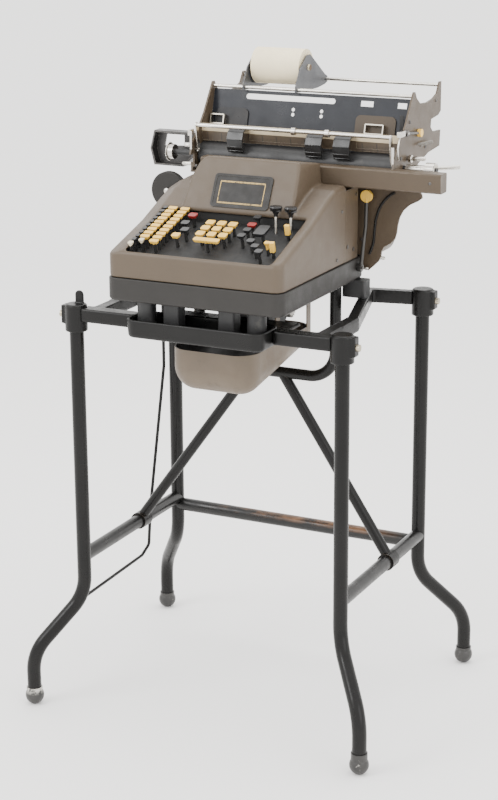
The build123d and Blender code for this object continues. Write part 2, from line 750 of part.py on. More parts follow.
with BuildPart() as keyboard_plate:
    with BuildSketch(side_plane(deck_x[0] - 4.0)):
        Polygon(*well_profile(-2.5, 0.0, DECK_Z - SHELL - 4.5), align=None)
    extrude(amount=deck_x[1] - deck_x[0] + 8.0)
    with BuildSketch(side_plane(deck_x[0] - 2.0)):
        Polygon(*well_profile(0.0, 2.0, DECK_Z + 20.0), align=None)
    extrude(amount=deck_x[1] - deck_x[0] + 4.0, mode=Mode.SUBTRACT)
    for x, y in stem_places:
        with BuildSketch(key_plane(x, y, 10.0)):
            Rectangle(STEM_W + 1.2, STEM_D + 1.2)
        extrude(amount=-30.0, mode=Mode.SUBTRACT)
    for x, y, z in knob_places:
        with BuildSketch(floor_plane(z - 8.0)):
            with Locations((x, y)):
                Circle(2.8)
        extrude(amount=-40.0, mode=Mode.SUBTRACT)
save(keyboard_plate.part, "keyboard_plate")

# ---------------------------------------------------------------- mechanism inside
GEAR_X = 55.0
GEAR_W = 8.0
SHAFT_Z = MOTOR_Z + MODULE * (DRIVE_TEETH + PINION_TEETH) / 2
TAKE_OFF_X = -40.0
WHEEL_STEP = MODULE * (TAKE_OFF_TEETH + WHEEL_TEETH) / 2 / 2 ** 0.5
WHEEL_Y = SHAFT_Y - WHEEL_STEP
WHEEL_Z = SHAFT_Z + WHEEL_STEP
BEARING_CLEARANCE = 0.05


def gear(teeth, y, z, x, width, turn):
    """Toothed wheel on an axis along X through (y, z), from x to x + width."""
    with BuildPart() as wheel:
        with BuildSketch(Plane(origin=(x, y, z), x_dir=(0, 1, 0), z_dir=(1, 0, 0))):
            gear_outline(teeth, turn)
        extrude(amount=width)
    return wheel.part


def inner_frame(x):
    """Upright side plate of the mechanism with the bearings of its shafts."""
    with BuildPart() as plate:
        with BuildSketch(side_plane(x)):
            Polygon(
                (-60.0, SEAM_Z - 32.9), (100.0, SEAM_Z - 32.9), (100.0, 820.0), (34.0, 850.0),
                (-20.0, 822.0), (-60.0, 790.0), align=None,
            )
            for y, z in ((SHAFT_Y, SHAFT_Z), (WHEEL_Y, WHEEL_Z)):
                with Locations((y, z)):
                    Circle(SHAFT_R + BEARING_CLEARANCE, mode=Mode.SUBTRACT)
        extrude(amount=3.0)
    return plate.part


FRAME_X = (-105.0, 48.0, 102.0)
with BuildPart() as inner_frames:
    for x in FRAME_X:
        add(inner_frame(x))
    for y, z in ((94.0, 720.0), (88.0, 806.0)):
        add(rod((FRAME_X[0] + 2.0, y, z), (FRAME_X[2] + 1.0, y, z), 4.0))
save(inner_frames.part, "inner_frames")

shaft_ends = (FRAME_X[0] - 4.0, FRAME_X[2] + 7.0)
with BuildPart() as main_shaft:
    add(rod((shaft_ends[0], SHAFT_Y, SHAFT_Z), (shaft_ends[1], SHAFT_Y, SHAFT_Z), SHAFT_R))
    add(gear(DRIVE_TEETH, SHAFT_Y, SHAFT_Z, GEAR_X, GEAR_W, -90.0))
    add(gear(TAKE_OFF_TEETH, SHAFT_Y, SHAFT_Z, TAKE_OFF_X, GEAR_W, 135.0))
    # cams that lift the printing and transfer levers, in balanced pairs
    for x, throw in ((-82.0, 5.0), (-66.0, -5.0), (0.0, 5.0), (22.0, -5.0)):
        with BuildSketch(side_plane(x)):
            with Locations((SHAFT_Y + throw, SHAFT_Z)):
                Ellipse(19.0, 14.0)
        extrude(amount=5.0)
save(main_shaft.part, "main_shaft")

with BuildPart() as adding_wheels:
    add(rod((shaft_ends[0], WHEEL_Y, WHEEL_Z), (FRAME_X[1] + 4.5, WHEEL_Y, WHEEL_Z), SHAFT_R))
    add(gear(WHEEL_TEETH, WHEEL_Y, WHEEL_Z, TAKE_OFF_X, GEAR_W, -45.0 + 180.0 / WHEEL_TEETH))
    for index in range(8):
        with BuildSketch(side_plane(-20.0 + 9.0 * index)):
            with Locations((WHEEL_Y, WHEEL_Z)):
                Circle(14.0)
        extrude(amount=4.0)
save(adding_wheels.part, "adding_wheels")

# ---------------------------------------------------------------- motor and its cover
MOTOR_X = (-52.0, 42.0)
with BuildPart() as motor:
    with BuildSketch(side_plane(MOTOR_X[0])):
        with Locations((SHAFT_Y, MOTOR_Z)):
            Circle(MOTOR_R)
    extrude(amount=MOTOR_X[1] - MOTOR_X[0])
    chamfer(motor.edges(), 4.0)
    add(block((-34.0, 26.0), (SHAFT_Y - 20.0, SHAFT_Y + 20.0), (MOTOR_Z + 20.0, BASE_BOTTOM)))
    with BuildSketch(side_plane(MOTOR_X[0] - 1.0)):
        with Locations((SHAFT_Y, MOTOR_Z)):
            Circle(4.0 + BEARING_CLEARANCE)
    extrude(amount=MOTOR_X[1] - MOTOR_X[0] + 2.0, mode=Mode.SUBTRACT)
save(motor.part, "motor")

with BuildPart() as motor_pinion:
    add(rod((MOTOR_X[0] - 8.0, SHAFT_Y, MOTOR_Z), (GEAR_X + GEAR_W + 1.0, SHAFT_Y, MOTOR_Z), 4.0))
    add(gear(PINION_TEETH, SHAFT_Y, MOTOR_Z, GEAR_X - 1.0, GEAR_W + 2.0, 90.0 + 180.0 / PINION_TEETH))
save(motor_pinion.part, "motor_pinion")

PAN_RIM = 622.0
PAN_X = (-82.0, 66.0)


PAN_FRONT = -142.0
PAN_BACK = 104.0


def pan_solid(inset):
    """Boat-shaped solid: rounded bow, flat rim, bottom rising to the rear."""
    with BuildPart() as hull:
        with BuildSketch(side_plane(PAN_X[0] + inset)):
            Polygon(
                (PAN_FRONT + inset, PAN_RIM + inset), (PAN_FRONT + inset, 543.0 + inset),
                (PAN_BACK - inset, 583.0 + inset), (PAN_BACK - inset, PAN_RIM + inset), align=None,
            )
        extrude(amount=PAN_X[1] - PAN_X[0] - 2 * inset)
        bow = [e for e in hull.edges().filter_by(Axis.X) if e.center().Z < PAN_RIM - 1.0 and e.center().Y < 0.0]
        fillet(bow, 40.0 - inset)
        side_edges = hull.faces().filter_by(Axis.X).edges()
        fillet([e for e in side_edges if e.center().Z < PAN_RIM - 1.0], 36.0 - inset)
    return hull.part


with BuildPart() as motor_cover:
    add(pan_solid(0.0))
    add(pan_solid(2.0), mode=Mode.SUBTRACT)
    # hangers that hold the pan under the base
    for x in (PAN_X[0], PAN_X[1] - 2.0):
        for y in (-40.0, 80.0):
            with BuildSketch(side_plane(x)):
                with Locations((y, (PAN_RIM + BASE_BOTTOM) / 2 - 6.0)):
                    Rectangle(14.0, BASE_BOTTOM - PAN_RIM + 12.0)
            extrude(amount=2.0)
save(motor_cover.part, "motor_cover")

# ---------------------------------------------------------------- side lever and spring drum
LEVER_X = 160.0
LEVER_TOP = (LEVER_X, 97.0, 845.0)
LEVER_PIN_R = 2.5
with BuildPart() as side_lever:
    add(
        bent_tube(
            [(158.0, 81.0, 733.0), (LEVER_X, 85.0, 767.0), (LEVER_X, 94.0, 796.0), LEVER_TOP],
            14.0,
            3.0,
        )
    )
    add(rod((153.0, 81.0, 730.0), (160.0, 81.0, 730.0), 6.5))
    disc_front = (LEVER_X, LEVER_TOP[1] - 3.0, LEVER_TOP[2])
    disc_back = (LEVER_X, LEVER_TOP[1] + 3.0, LEVER_TOP[2])
    add(rod(disc_front, disc_back, 9.8))
    add(
        rod((152.0, 81.0, 730.0), (164.0, 81.0, 730.0), LEVER_PIN_R + BEARING_CLEARANCE),
        mode=Mode.SUBTRACT,
    )
save(side_lever.part, "side_lever")

DRUM_R = 32.0
with BuildPart() as spring_drum:
    add(rod((DRUM_X, DRUM_Y - 5.0, DRUM_Z), (DRUM_X, DRUM_Y + 7.0, DRUM_Z), DRUM_R, DRUM_PIN_R + BEARING_CLEARANCE))
    chamfer(spring_drum.edges().filter_by(GeomType.CIRCLE).group_by(SortBy.RADIUS)[-1], 1.5)
save(spring_drum.part, "spring_drum")

# ---------------------------------------------------------------- carriage
PLATE_PROFILE = [
    (53.0, RAIL_TOP + 0.05), (60.0, 918.0), (88.0, 944.0), (104.0, 962.0), (137.0, 1010.0),
    (143.0, 1010.0), (150.0, 999.0), (166.0, 989.0), (196.0, 987.0), (222.0, 990.0), (240.0, 996.0),
    (252.0, 1014.0), (259.0, 1014.0), (259.0, 966.0), (248.0, 960.0), (216.0, 957.0), (214.0, 944.0),
    (224.0, 936.0), (259.0, 934.0), (256.0, 908.0), (206.0, 904.0), (160.0, 892.0), (146.0, 877.0),
    (RAIL_BACK + 0.05, 877.0), (RAIL_BACK + 0.05, RAIL_TOP + 0.05),
]
ROD_FRONT = (140.0, 1003.0)
ROD_BACK = (255.5, 1008.0)
TOP_ROD_R = 3.0
BAIL_PIVOT = (72.0, 905.5)
RELEASE_PIVOT = (100.0, 950.0)
PIVOT_PIN_R = 2.0


def end_plate(x):
    """Carriage end plate with horns above, a notch behind and holes for shaft and rods."""
    with BuildPart() as plate:
        with BuildSketch(side_plane(x)):
            Polygon(*PLATE_PROFILE, align=None)
            with Locations((PLATEN_Y, PLATEN_Z)):
                Circle(PLATEN_SHAFT_R + BEARING_CLEARANCE, mode=Mode.SUBTRACT)
        extrude(amount=PLATE_T)
    return plate.part


with BuildPart() as end_plates:
    for x in (PLATE_LEFT, PLATE_RIGHT):
        add(end_plate(x))
save(end_plates.part, "end_plates")

inside = (PLATE_LEFT + PLATE_T, PLATE_RIGHT)
with BuildPart() as carriage_rods:
    add(rod((inside[0], *ROD_FRONT), (inside[1], *ROD_FRONT), TOP_ROD_R))
    add(rod((inside[0], *ROD_BACK), (inside[1], *ROD_BACK), TOP_ROD_R))
    # pivot pins of the bail and of the release lever
    add(rod((inside[0], *BAIL_PIVOT), (inside[0] + 7.0, *BAIL_PIVOT), PIVOT_PIN_R))
    add(rod((inside[1], *BAIL_PIVOT), (inside[1] - 9.0, *BAIL_PIVOT), PIVOT_PIN_R))
    add(rod((PLATE_RIGHT + PLATE_T, *RELEASE_PIVOT), (PLATE_RIGHT + PLATE_T + 7.0, *RELEASE_PIVOT), PIVOT_PIN_R))
save(carriage_rods.part, "carriage_rods")

with BuildPart() as carriage_rail:
    with BuildSketch(side_plane(RAIL_LEFT)):
        with Locations(((RAIL_FRONT + RAIL_BACK) / 2, (RAIL_BOTTOM + RAIL_TOP) / 2)):
            Rectangle(RAIL_BACK - RAIL_FRONT, RAIL_TOP - RAIL_BOTTOM)
    extrude(amount=RAIL_RIGHT - RAIL_LEFT)
    chamfer(carriage_rail.edges().filter_by(Axis.X), 2.0)
    with BuildSketch(side_plane(RAIL_LEFT - 1.0)):
        with Locations(((RAIL_FRONT + RAIL_BACK) / 2, (RAIL_BOTTOM + RAIL_TOP) / 2)):
            Rectangle(RAIL_BACK - RAIL_FRONT - 5.0, RAIL_TOP - RAIL_BOTTOM - 5.0)
    extrude(amount=RAIL_RIGHT - RAIL_LEFT - 2.0, mode=Mode.SUBTRACT)
    add(block((PLATE_LEFT - 4.0, PLATE_RIGHT + 8.0), (RAIL_BACK - 1.0, 160.0), (RAIL_BOTTOM, RAIL_BOTTOM + 3.0)))
    for x in (PLATE_LEFT - 4.0, PLATE_RIGHT + PLATE_T + 0.05):
        add(block((x, x + 3.95), (RAIL_BACK, 140.0), (RAIL_BOTTOM, RAIL_BOTTOM + 16.0)))
save(carriage_rail.part, "carriage_rail")

BRACKET_Y = (114.0, 134.0)
with BuildPart() as end_bracket:
    with BuildSketch(front_plane(BRACKET_Y[1])):
        Polygon((-240.0, 866.0), (-247.0, 894.0), (-239.0, 925.0), (-145.0, 925.0), (-145.0, 900.0),
                (-184.0, 866.0), align=None)
        Polygon((-228.0, 897.0), (-224.0, 917.0), (-190.0, 917.0), (-190.0, 899.0), align=None,
                mode=Mode.SUBTRACT)
    extrude(amount=BRACKET_Y[1] - BRACKET_Y[0])
    with BuildSketch(front_plane(BRACKET_Y[1] - 3.0)):
        Polygon((-237.0, 869.0), (-244.0, 894.0), (-237.0, 922.0), (-148.0, 922.0), (-148.0, 901.0),
                (-186.0, 869.0), align=None)
    extrude(amount=BRACKET_Y[1] - BRACKET_Y[0], mode=Mode.SUBTRACT)
    add(block((PLATE_LEFT - 6.0, PLATE_LEFT - 0.05), BRACKET_Y, (901.0, 925.0)))
save(end_bracket.part, "end_bracket")

# ---------------------------------------------------------------- platen with knob and crank
with BuildPart() as platen:
    add(rod((inside[0] + 1.5, PLATEN_Y, PLATEN_Z), (inside[1] - 1.5, PLATEN_Y, PLATEN_Z), PLATEN_R))
    add(rod((PLATE_LEFT - 62.0, PLATEN_Y, PLATEN_Z), (PLATE_RIGHT + 60.0, PLATEN_Y, PLATEN_Z), PLATEN_SHAFT_R))
save(platen.part, "platen")

KNOB_X = PLATE_RIGHT + 42.0
with BuildPart() as platen_knob:
    add(rod((KNOB_X, PLATEN_Y, PLATEN_Z), (KNOB_X + 15.0, PLATEN_Y, PLATEN_Z), 12.5, PLATEN_SHAFT_R))
    add(rod((PLATE_RIGHT + 8.0, PLATEN_Y, PLATEN_Z), (KNOB_X, PLATEN_Y, PLATEN_Z), 7.5, PLATEN_SHAFT_R))
    add(rod((KNOB_X + 7.5, PLATEN_Y + 8.0, PLATEN_Z + 2.0), (KNOB_X + 50.0, PLATEN_Y + 17.0, PLATEN_Z + 6.0), 3.4))
    add(rod((-199.0, PLATEN_Y, PLATEN_Z), (-190.0, PLATEN_Y, PLATEN_Z), 12.5, PLATEN_SHAFT_R))
save(platen_knob.part, "platen_knob")

# ---------------------------------------------------------------- bail and its fingers
bail_ends = (PLATE_LEFT + PLATE_T + 4.0, PLATE_RIGHT - 6.0)
with BuildPart() as bail:
    add(rod((bail_ends[0], BAIL_Y, BAIL_Z), (bail_ends[1], BAIL_Y, BAIL_Z), BAIL_R))
    for x in (bail_ends[0], bail_ends[1] - 2.0):
        with BuildSketch(side_plane(x)):
            bar_segment((BAIL_Y, BAIL_Z), BAIL_PIVOT, 9.0)
            with Locations(BAIL_PIVOT):
                Circle(PIVOT_PIN_R + BEARING_CLEARANCE, mode=Mode.SUBTRACT)
        extrude(amount=2.0)
    for x in (45.0, 104.0):
        add(rod((x - 3.5, BAIL_Y, BAIL_Z), (x + 3.5, BAIL_Y, BAIL_Z), 6.0))
save(bail.part, "bail")

finger_x = (-63.5, 77.5, 126.5)
with BuildPart() as paper_fingers:
    for x in finger_x:
        with BuildSketch(side_plane(x - 14.0)):
            Polygon((72.0, 939.0), (80.0, 943.0), (92.6, 943.0), (92.6, 940.4), (81.0, 940.4), (74.5, 937.0),
                    (69.6, 926.0), (71.0, 914.0), (74.5, 906.0), (72.0, 905.0), (68.0, 913.0), (66.6, 926.5),
                    align=None)
        extrude(amount=28.0)
save(paper_fingers.part, "paper_fingers")

# ---------------------------------------------------------------- paper table, scales and guides
table_slope = degrees(atan2(23.0, 88.0))
table_plane = Plane(
    origin=(0, 121.5, 918.0),
    x_dir=(1, 0, 0),
    z_dir=(0, -cos(radians(table_slope)), sin(radians(table_slope))),
)


TABLE_LOW = 906.0


def table_point(x, z):
    """Point of the paper table at x and height z, in the table's own plane."""
    return (x, (z - 918.0) / cos(radians(table_slope)))


with BuildPart() as paper_table:
    with BuildSketch(table_plane):
        Polygon(table_point(inside[0], TABLE_LOW), table_point(inside[1], TABLE_LOW),
                table_point(inside[1], 998.0), table_point(inside[0], 998.0), align=None)
        with Locations(table_point(4.0, 988.0)):
            SlotOverall(162.0, 9.0, mode=Mode.SUBTRACT)
        with Locations(table_point(141.0, 987.0)):
            Rectangle(22.0, 9.0, mode=Mode.SUBTRACT)
        with Locations(table_point(202.0, 987.0)):
            Rectangle(16.0, 9.0, mode=Mode.SUBTRACT)
        for x in (11.0, 62.0):
            for z in (971.0, 963.0):
                with Locations(table_point(x, z)):
                    Circle(3.0, mode=Mode.SUBTRACT)
    extrude(amount=-1.6)
save(paper_table.part, "paper_table")

with BuildPart() as scale_strips:
    for x in ((-48.0, 58.0), (143.0, 200.0)):
        with BuildSketch(side_plane(x[0])):
            Polygon((91.0, 946.0), (92.95, 946.0), (94.75, 922.0), (92.8, 922.0), align=None)
        extrude(amount=x[1] - x[0])
    with BuildSketch(side_plane(inside[0])):
        Polygon((93.0, 946.0), (95.0, 946.0), (97.2, 917.4), (95.2, 917.4), align=None)
    extrude(amount=inside[1] - inside[0])
save(scale_strips.part, "scale_strips")

with BuildPart() as paper_guides:
    for x, z, width, height in ((-98.0, 946.0, 58.0, 46.0), (160.0, 940.0, 70.0, 60.0)):
        with BuildSketch(table_plane.offset(0.05)):
            with Locations(table_point(x, z)):
                RectangleRounded(width, height, 9.0)
        extrude(amount=2.4)
    # open sheet boxes that clip the guides to the table
    for x, z, width in ((-121.0, 948.0, 26.0), (162.0, 947.0, 33.0)):
        with BuildSketch(table_plane.offset(2.0)):
            with Locations(table_point(x, z)):
                RectangleRounded(width, 17.0, 2.0)
                RectangleRounded(width - 4.0, 13.0, 1.0, mode=Mode.SUBTRACT)
        extrude(amount=10.0)
save(paper_guides.part, "paper_guides")

# ---------------------------------------------------------------- paper roll and its holder
ROLL_SIDE = [
    (133.0, 999.0), (134.0, 1009.0), (150.0, 1035.0), (177.0, 1055.0), (190.0, 1056.0), (202.0, 1048.0),
    (250.0, 1017.0), (261.0, 1012.0), (261.0, 1003.0), (250.0, 1000.0), (222.0, 997.0), (147.0, 998.0),
]
with BuildPart() as roll_holder:
    for x in (ROLL_X - ROLL_WIDTH / 2 - 5.0, ROLL_X + ROLL_WIDTH / 2 + 3.0):
        with BuildSketch(side_plane(x)):
            Polygon(*ROLL_SIDE, align=None)
            with Locations((ROLL_Y, ROLL_Z)):
                Circle(5.0 + BEARING_CLEARANCE, mode=Mode.SUBTRACT)
            for centre in (ROD_FRONT, ROD_BACK):
                with Locations(centre):
                    Circle(TOP_ROD_R + BEARING_CLEARANCE, mode=Mode.SUBTRACT)
        extrude(amount=2.0)
save(roll_holder.part, "roll_holder")

with BuildPart() as paper_roll:
    add(rod((ROLL_X - ROLL_WIDTH / 2, ROLL_Y, ROLL_Z), (ROLL_X + ROLL_WIDTH / 2, ROLL_Y, ROLL_Z), ROLL_R))
    add(rod((ROLL_X - ROLL_WIDTH / 2 - 8.0, ROLL_Y, ROLL_Z), (ROLL_X + ROLL_WIDTH / 2 + 8.0, ROLL_Y, ROLL_Z), 5.0))
save(paper_roll.part, "paper_roll")

# ---------------------------------------------------------------- release lever
RELEASE_X = PLATE_RIGHT + PLATE_T + 0.8
RELEASE_TAB = (157.0, 943.0)
with BuildPart() as release_lever:
    add(rod((RELEASE_X, *RELEASE_PIVOT), (RELEASE_X + 5.0, *RELEASE_PIVOT), 5.0))
    add(rod((RELEASE_X + 2.5, *RELEASE_PIVOT), (RELEASE_X + 2.5, *RELEASE_TAB), 2.2))
    add(rod((RELEASE_X, *RELEASE_TAB), (RELEASE_X + 6.0, *RELEASE_TAB), 6.5))
    add(
        rod((RELEASE_X - 1.0, *RELEASE_PIVOT), (RELEASE_X + 6.0, *RELEASE_PIVOT), PIVOT_PIN_R + BEARING_CLEARANCE),
        mode=Mode.SUBTRACT,
    )
save(release_lever.part, "release_lever")

# ---------------------------------------------------------------- fasteners
with BuildPart() as fasteners:
    for side in (-1, 1):
        for end in (-1, 1):
            edge = side * (LEG_X + CLAMP_R + 5.5)
            add(rod((edge, end * LEG_Y, 666.0), (edge + side * 5.0, end * LEG_Y, 666.0), 5.5))
        for y, z in ((46.0, 770.0), (82.0, 850.0), (70.0, 762.0)):
            x = side * (BODY_X - 1.5)
            add(rod((x, y, z), (x + side * 1.4, y, z), 3.2))
    # pivot stud of the side lever
    add(rod((BODY_X + 2.05, 81.0, 730.0), (LEVER_X + 2.0, 81.0, 730.0), LEVER_PIN_R))
save(fasteners.part, "fasteners")
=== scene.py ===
import math
import random

import bmesh
import bpy
from mathutils import Matrix, Vector


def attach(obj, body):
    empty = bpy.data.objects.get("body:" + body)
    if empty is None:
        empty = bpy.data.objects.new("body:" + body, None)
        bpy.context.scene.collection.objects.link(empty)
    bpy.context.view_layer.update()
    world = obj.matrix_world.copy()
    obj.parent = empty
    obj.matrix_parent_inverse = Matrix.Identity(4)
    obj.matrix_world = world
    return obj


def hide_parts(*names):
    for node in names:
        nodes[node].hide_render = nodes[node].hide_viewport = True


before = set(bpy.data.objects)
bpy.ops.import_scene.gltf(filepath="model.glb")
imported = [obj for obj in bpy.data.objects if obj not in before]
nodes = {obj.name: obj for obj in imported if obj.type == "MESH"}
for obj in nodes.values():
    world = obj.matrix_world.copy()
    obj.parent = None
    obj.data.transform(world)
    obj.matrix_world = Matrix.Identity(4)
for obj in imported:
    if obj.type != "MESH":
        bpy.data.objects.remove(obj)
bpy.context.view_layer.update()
rng = random.Random(7)


# ------------------------------------------------------------------ camera, floor and light
CAMERA_PLACE = (1.36355, -2.77253, 1.42351)
CAMERA_AZIMUTH = 26.2923
CAMERA_ELEVATION = 16.5104
CAMERA_ROLL = -0.34786
FOCAL_PIXELS = 1946.82
PICTURE_HEIGHT = 800.0
SENSOR_HEIGHT = 36.0
SURROUND_COLOUR = (1.0, 0.99, 0.975, 1.0)
SURROUND = 2.35
FLOOR_RINGS = (0.6, 1.5, 3.0, 6.0, 12.0, 40.0)
FLOOR_STEPS = 64


def place_camera():
    """Camera with its fitted place, direction, roll and focal length."""
    azimuth = math.radians(CAMERA_AZIMUTH)
    elevation = math.radians(CAMERA_ELEVATION)
    roll = math.radians(CAMERA_ROLL)
    level = math.cos(elevation)
    back = Vector((math.sin(azimuth) * level, -math.cos(azimuth) * level, math.sin(elevation)))
    right = Vector((math.cos(azimuth), math.sin(azimuth), 0.0))
    up = back.cross(right)
    cam_right = right * math.cos(roll) + up * math.sin(roll)
    cam_up = up * math.cos(roll) - right * math.sin(roll)
    data = bpy.data.cameras.new("camera")
    data.sensor_fit = "VERTICAL"
    data.sensor_height = SENSOR_HEIGHT
    data.lens = FOCAL_PIXELS * SENSOR_HEIGHT / PICTURE_HEIGHT
    data.clip_end = 30.0
    camera = bpy.data.objects.new("camera", data)
    bpy.context.scene.collection.objects.link(camera)
    turn = Matrix((cam_right, cam_up, back)).transposed().to_4x4()
    camera.matrix_world = Matrix.Translation(CAMERA_PLACE) @ turn
    bpy.context.scene.camera = camera


def area_light(name, place, target, size, power):
    """Soft rectangular light that looks at target."""
    data = bpy.data.lights.new(name, "AREA")
    data.shape = "RECTANGLE"
    data.size = size[0]
    data.size_y = size[1]
    data.energy = power
    light = bpy.data.objects.new(name, data)
    bpy.context.scene.collection.objects.link(light)
    light.location = place
    light.rotation_euler = (Vector(place) - Vector(target)).to_track_quat("Z", "Y").to_euler()


def link_mesh(name, mesh):
    """New object in the scene that shows mesh."""
    obj = bpy.data.objects.new(name, mesh)
    bpy.context.scene.collection.objects.link(obj)
    return obj


def ring_of(bm, radius, steps, matrix, height=0.0):
    """Circle of new vertices about the Z axis of matrix."""
    ring = []
    for step in range(steps):
        angle = 2.0 * math.pi * step / steps
        local = Vector((radius * math.cos(angle), radius * math.sin(angle), height))
        ring.append(bm.verts.new(matrix @ local))
    return ring


def join_rings(bm, rings):
    """Quads between each ring and the next one."""
    for low, high in zip(rings, rings[1:]):
        for step in range(len(low)):
            following = (step + 1) % len(low)
            bm.faces.new((low[step], low[following], high[following], high[step]))


def backdrop():
    """Wide round floor whose far part fades into the pale surroundings."""
    bm = bmesh.new()
    rings = [ring_of(bm, radius, FLOOR_STEPS, Matrix.Identity(4)) for radius in FLOOR_RINGS]
    bm.faces.new(rings[0])
    join_rings(bm, rings[::-1])
    mesh = bpy.data.meshes.new("backdrop")
    bm.to_mesh(mesh)
    bm.free()
    return link_mesh("backdrop", mesh)


# ------------------------------------------------------------------ materials
# Dot product of true and rounded normals where an edge mask starts and where it is full.
EDGE_STARTS = 0.98
EDGE_FULL = 0.78
WEAR_RADIUS = 0.0012


class Nodes:
    """Small helper that builds a node tree."""

    def __init__(self, name):
        self.material = bpy.data.materials.new(name)
        self.material.use_nodes = True
        self.tree = self.material.node_tree
        self.tree.nodes.clear()
        self.output = self.add("ShaderNodeOutputMaterial")
        self.shader = self.add("ShaderNodeBsdfPrincipled")
        self.link(self.shader.outputs[0], self.output.inputs[0])
        self.coords = self.add("ShaderNodeTexCoord")

    def add(self, kind):
        return self.tree.nodes.new(kind)

    def link(self, source, target):
        self.tree.links.new(source, target)

    def noise(self, scale, detail=4.0, rough=0.55, stretch=None, seed=0.0):
        node = self.add("ShaderNodeTexNoise")
        node.noise_dimensions = "4D"
        node.inputs["W"].default_value = seed
        node.inputs["Scale"].default_value = scale
        node.inputs["Detail"].default_value = detail
        node.inputs["Roughness"].default_value = rough
        source = self.coords.outputs["Object"]
        if stretch:
            mapping = self.add("ShaderNodeMapping")
            mapping.inputs["Scale"].default_value = stretch
            self.link(source, mapping.inputs["Vector"])
            source = mapping.outputs[0]
        self.link(source, node.inputs["Vector"])
        return node.outputs[0]

    def ramp(self, source, low, high, out_low=0.0, out_high=1.0):
        node = self.add("ShaderNodeMapRange")
        node.clamp = True
        node.inputs["From Min"].default_value = low
        node.inputs["From Max"].default_value = high
        node.inputs["To Min"].default_value = out_low
        node.inputs["To Max"].default_value = out_high
        self.link(source, node.inputs["Value"])
        return node.outputs[0]

    def math(self, operation, a, b=0.0):
        node = self.add("ShaderNodeMath")
        node.operation = operation
        for index, value in enumerate((a, b)):
            if isinstance(value, (int, float)):
                node.inputs[index].default_value = value
            else:
                self.link(value, node.inputs[index])
        return node.outputs[0]

    def mix(self, factor, a, b):
        node = self.add("ShaderNodeMix")
        node.data_type = "RGBA"
        self.link(factor, node.inputs["Factor"])
        for key, value in (("A", a), ("B", b)):
            socket = [s for s in node.inputs if s.name == key and s.type == "RGBA"][0]
            if isinstance(value, tuple):
                socket.default_value = (*value, 1.0)
            else:
                self.link(value, socket)
        return [s for s in node.outputs if s.type == "RGBA"][0]

    def axis(self, source, name):
        node = self.add("ShaderNodeSeparateXYZ")
        self.link(source, node.inputs[0])
        return node.outputs[name]

    def edge(self, radius):
        """1 along edges, 0 on flat ground."""
        bevel = self.add("ShaderNodeBevel")
        bevel.samples = 4
        bevel.inputs["Radius"].default_value = radius
        geometry = self.add("ShaderNodeNewGeometry")
        dot = self.add("ShaderNodeVectorMath")
        dot.operation = "DOT_PRODUCT"
        self.link(bevel.outputs[0], dot.inputs[0])
        self.link(geometry.outputs["Normal"], dot.inputs[1])
        return self.ramp(dot.outputs["Value"], EDGE_STARTS, EDGE_FULL)

    def drift(self, scale, detail=5.0):
        """Slow noise spread over the whole of 0 to 1."""
        return self.ramp(self.noise(scale, detail), 0.3, 0.7)

    def colour(self, source):
        self.link(source, self.shader.inputs["Base Color"])

    def gloss(self, scale, detail, seed, low, high):
        """Roughness that wanders between low and high."""
        wander = self.ramp(self.noise(scale, detail, 0.6, None, seed), 0.3, 0.7, low, high)
        self.link(wander, self.shader.inputs["Roughness"])

    def bump(self, height, distance):
        node = self.add("ShaderNodeBump")
        node.inputs["Distance"].default_value = distance
        self.link(height, node.inputs["Height"])
        self.link(node.outputs[0], self.shader.inputs["Normal"])


def shade(colour, factor):
    return tuple(min(1.0, c * factor) for c in colour)


def finish_material(
    name, colour, rough, vary, grain, height, metal=0.0, rough_vary=0.12, specular=0.5,
    worn=None, wear=0.5, patches=None, stretch=None,
):
    """Painted, plated or moulded finish: colour drift, grain, worn edges and uneven gloss.

    worn is the colour under the finish; patches is (colour, noise scale, threshold, strength).
    """
    n = Nodes(name)
    drift = n.ramp(n.noise(11.0, 5.0, 0.6, stretch), 0.3, 0.7)
    base = n.mix(drift, shade(colour, 1.0 - vary), shade(colour, 1.0 + vary))
    speck = n.ramp(n.noise(260.0, 3.0, 0.6, stretch, 3.0), 0.35, 0.75)
    base = n.mix(n.math("MULTIPLY", speck, 0.35), base, shade(colour, 1.0 + 1.2 * vary))
    if patches:
        patch_colour, scale, threshold, strength = patches
        patch = n.ramp(n.noise(scale, 6.0, 0.65, None, 5.0), threshold, threshold + 0.06)
        base = n.mix(n.math("MULTIPLY", patch, strength), base, patch_colour)
    smooth = max(0.03, rough - rough_vary)
    dull = min(1.0, rough + rough_vary)
    gloss = n.ramp(n.noise(38.0, 5.0, 0.6, stretch, 9.0), 0.3, 0.7, smooth, dull)
    if worn:
        edge = n.edge(WEAR_RADIUS)
        broken = n.ramp(n.noise(140.0, 6.0, 0.7, None, 12.0), 0.62 - 0.3 * wear, 0.72 - 0.25 * wear)
        mask = n.math("MULTIPLY", edge, broken)
        chips = n.ramp(n.noise(95.0, 7.0, 0.75, None, 20.0), 0.735 - 0.06 * wear, 0.75 - 0.06 * wear)
        mask = n.math("MAXIMUM", mask, n.math("MULTIPLY", chips, 0.6 * wear))
        base = n.mix(mask, base, worn)
    n.colour(base)
    n.link(gloss, n.shader.inputs["Roughness"])
    n.shader.inputs["Metallic"].default_value = metal
    n.shader.inputs["Specular IOR Level"].default_value = specular
    n.bump(n.noise(grain, 3.0, 0.6, stretch, 1.0), height)
    return n.material


TAUPE = (0.071, 0.0505, 0.0315)
ENAMEL = (0.0052, 0.0050, 0.0048)
RUST = (0.13, 0.062, 0.03)
NICKEL = (0.60, 0.575, 0.53)
YELLOW = (0.80, 0.49, 0.08)
BLACK = (0.012, 0.012, 0.013)
IVORY = (0.66, 0.58, 0.42)
RED = (0.235, 0.014, 0.012)

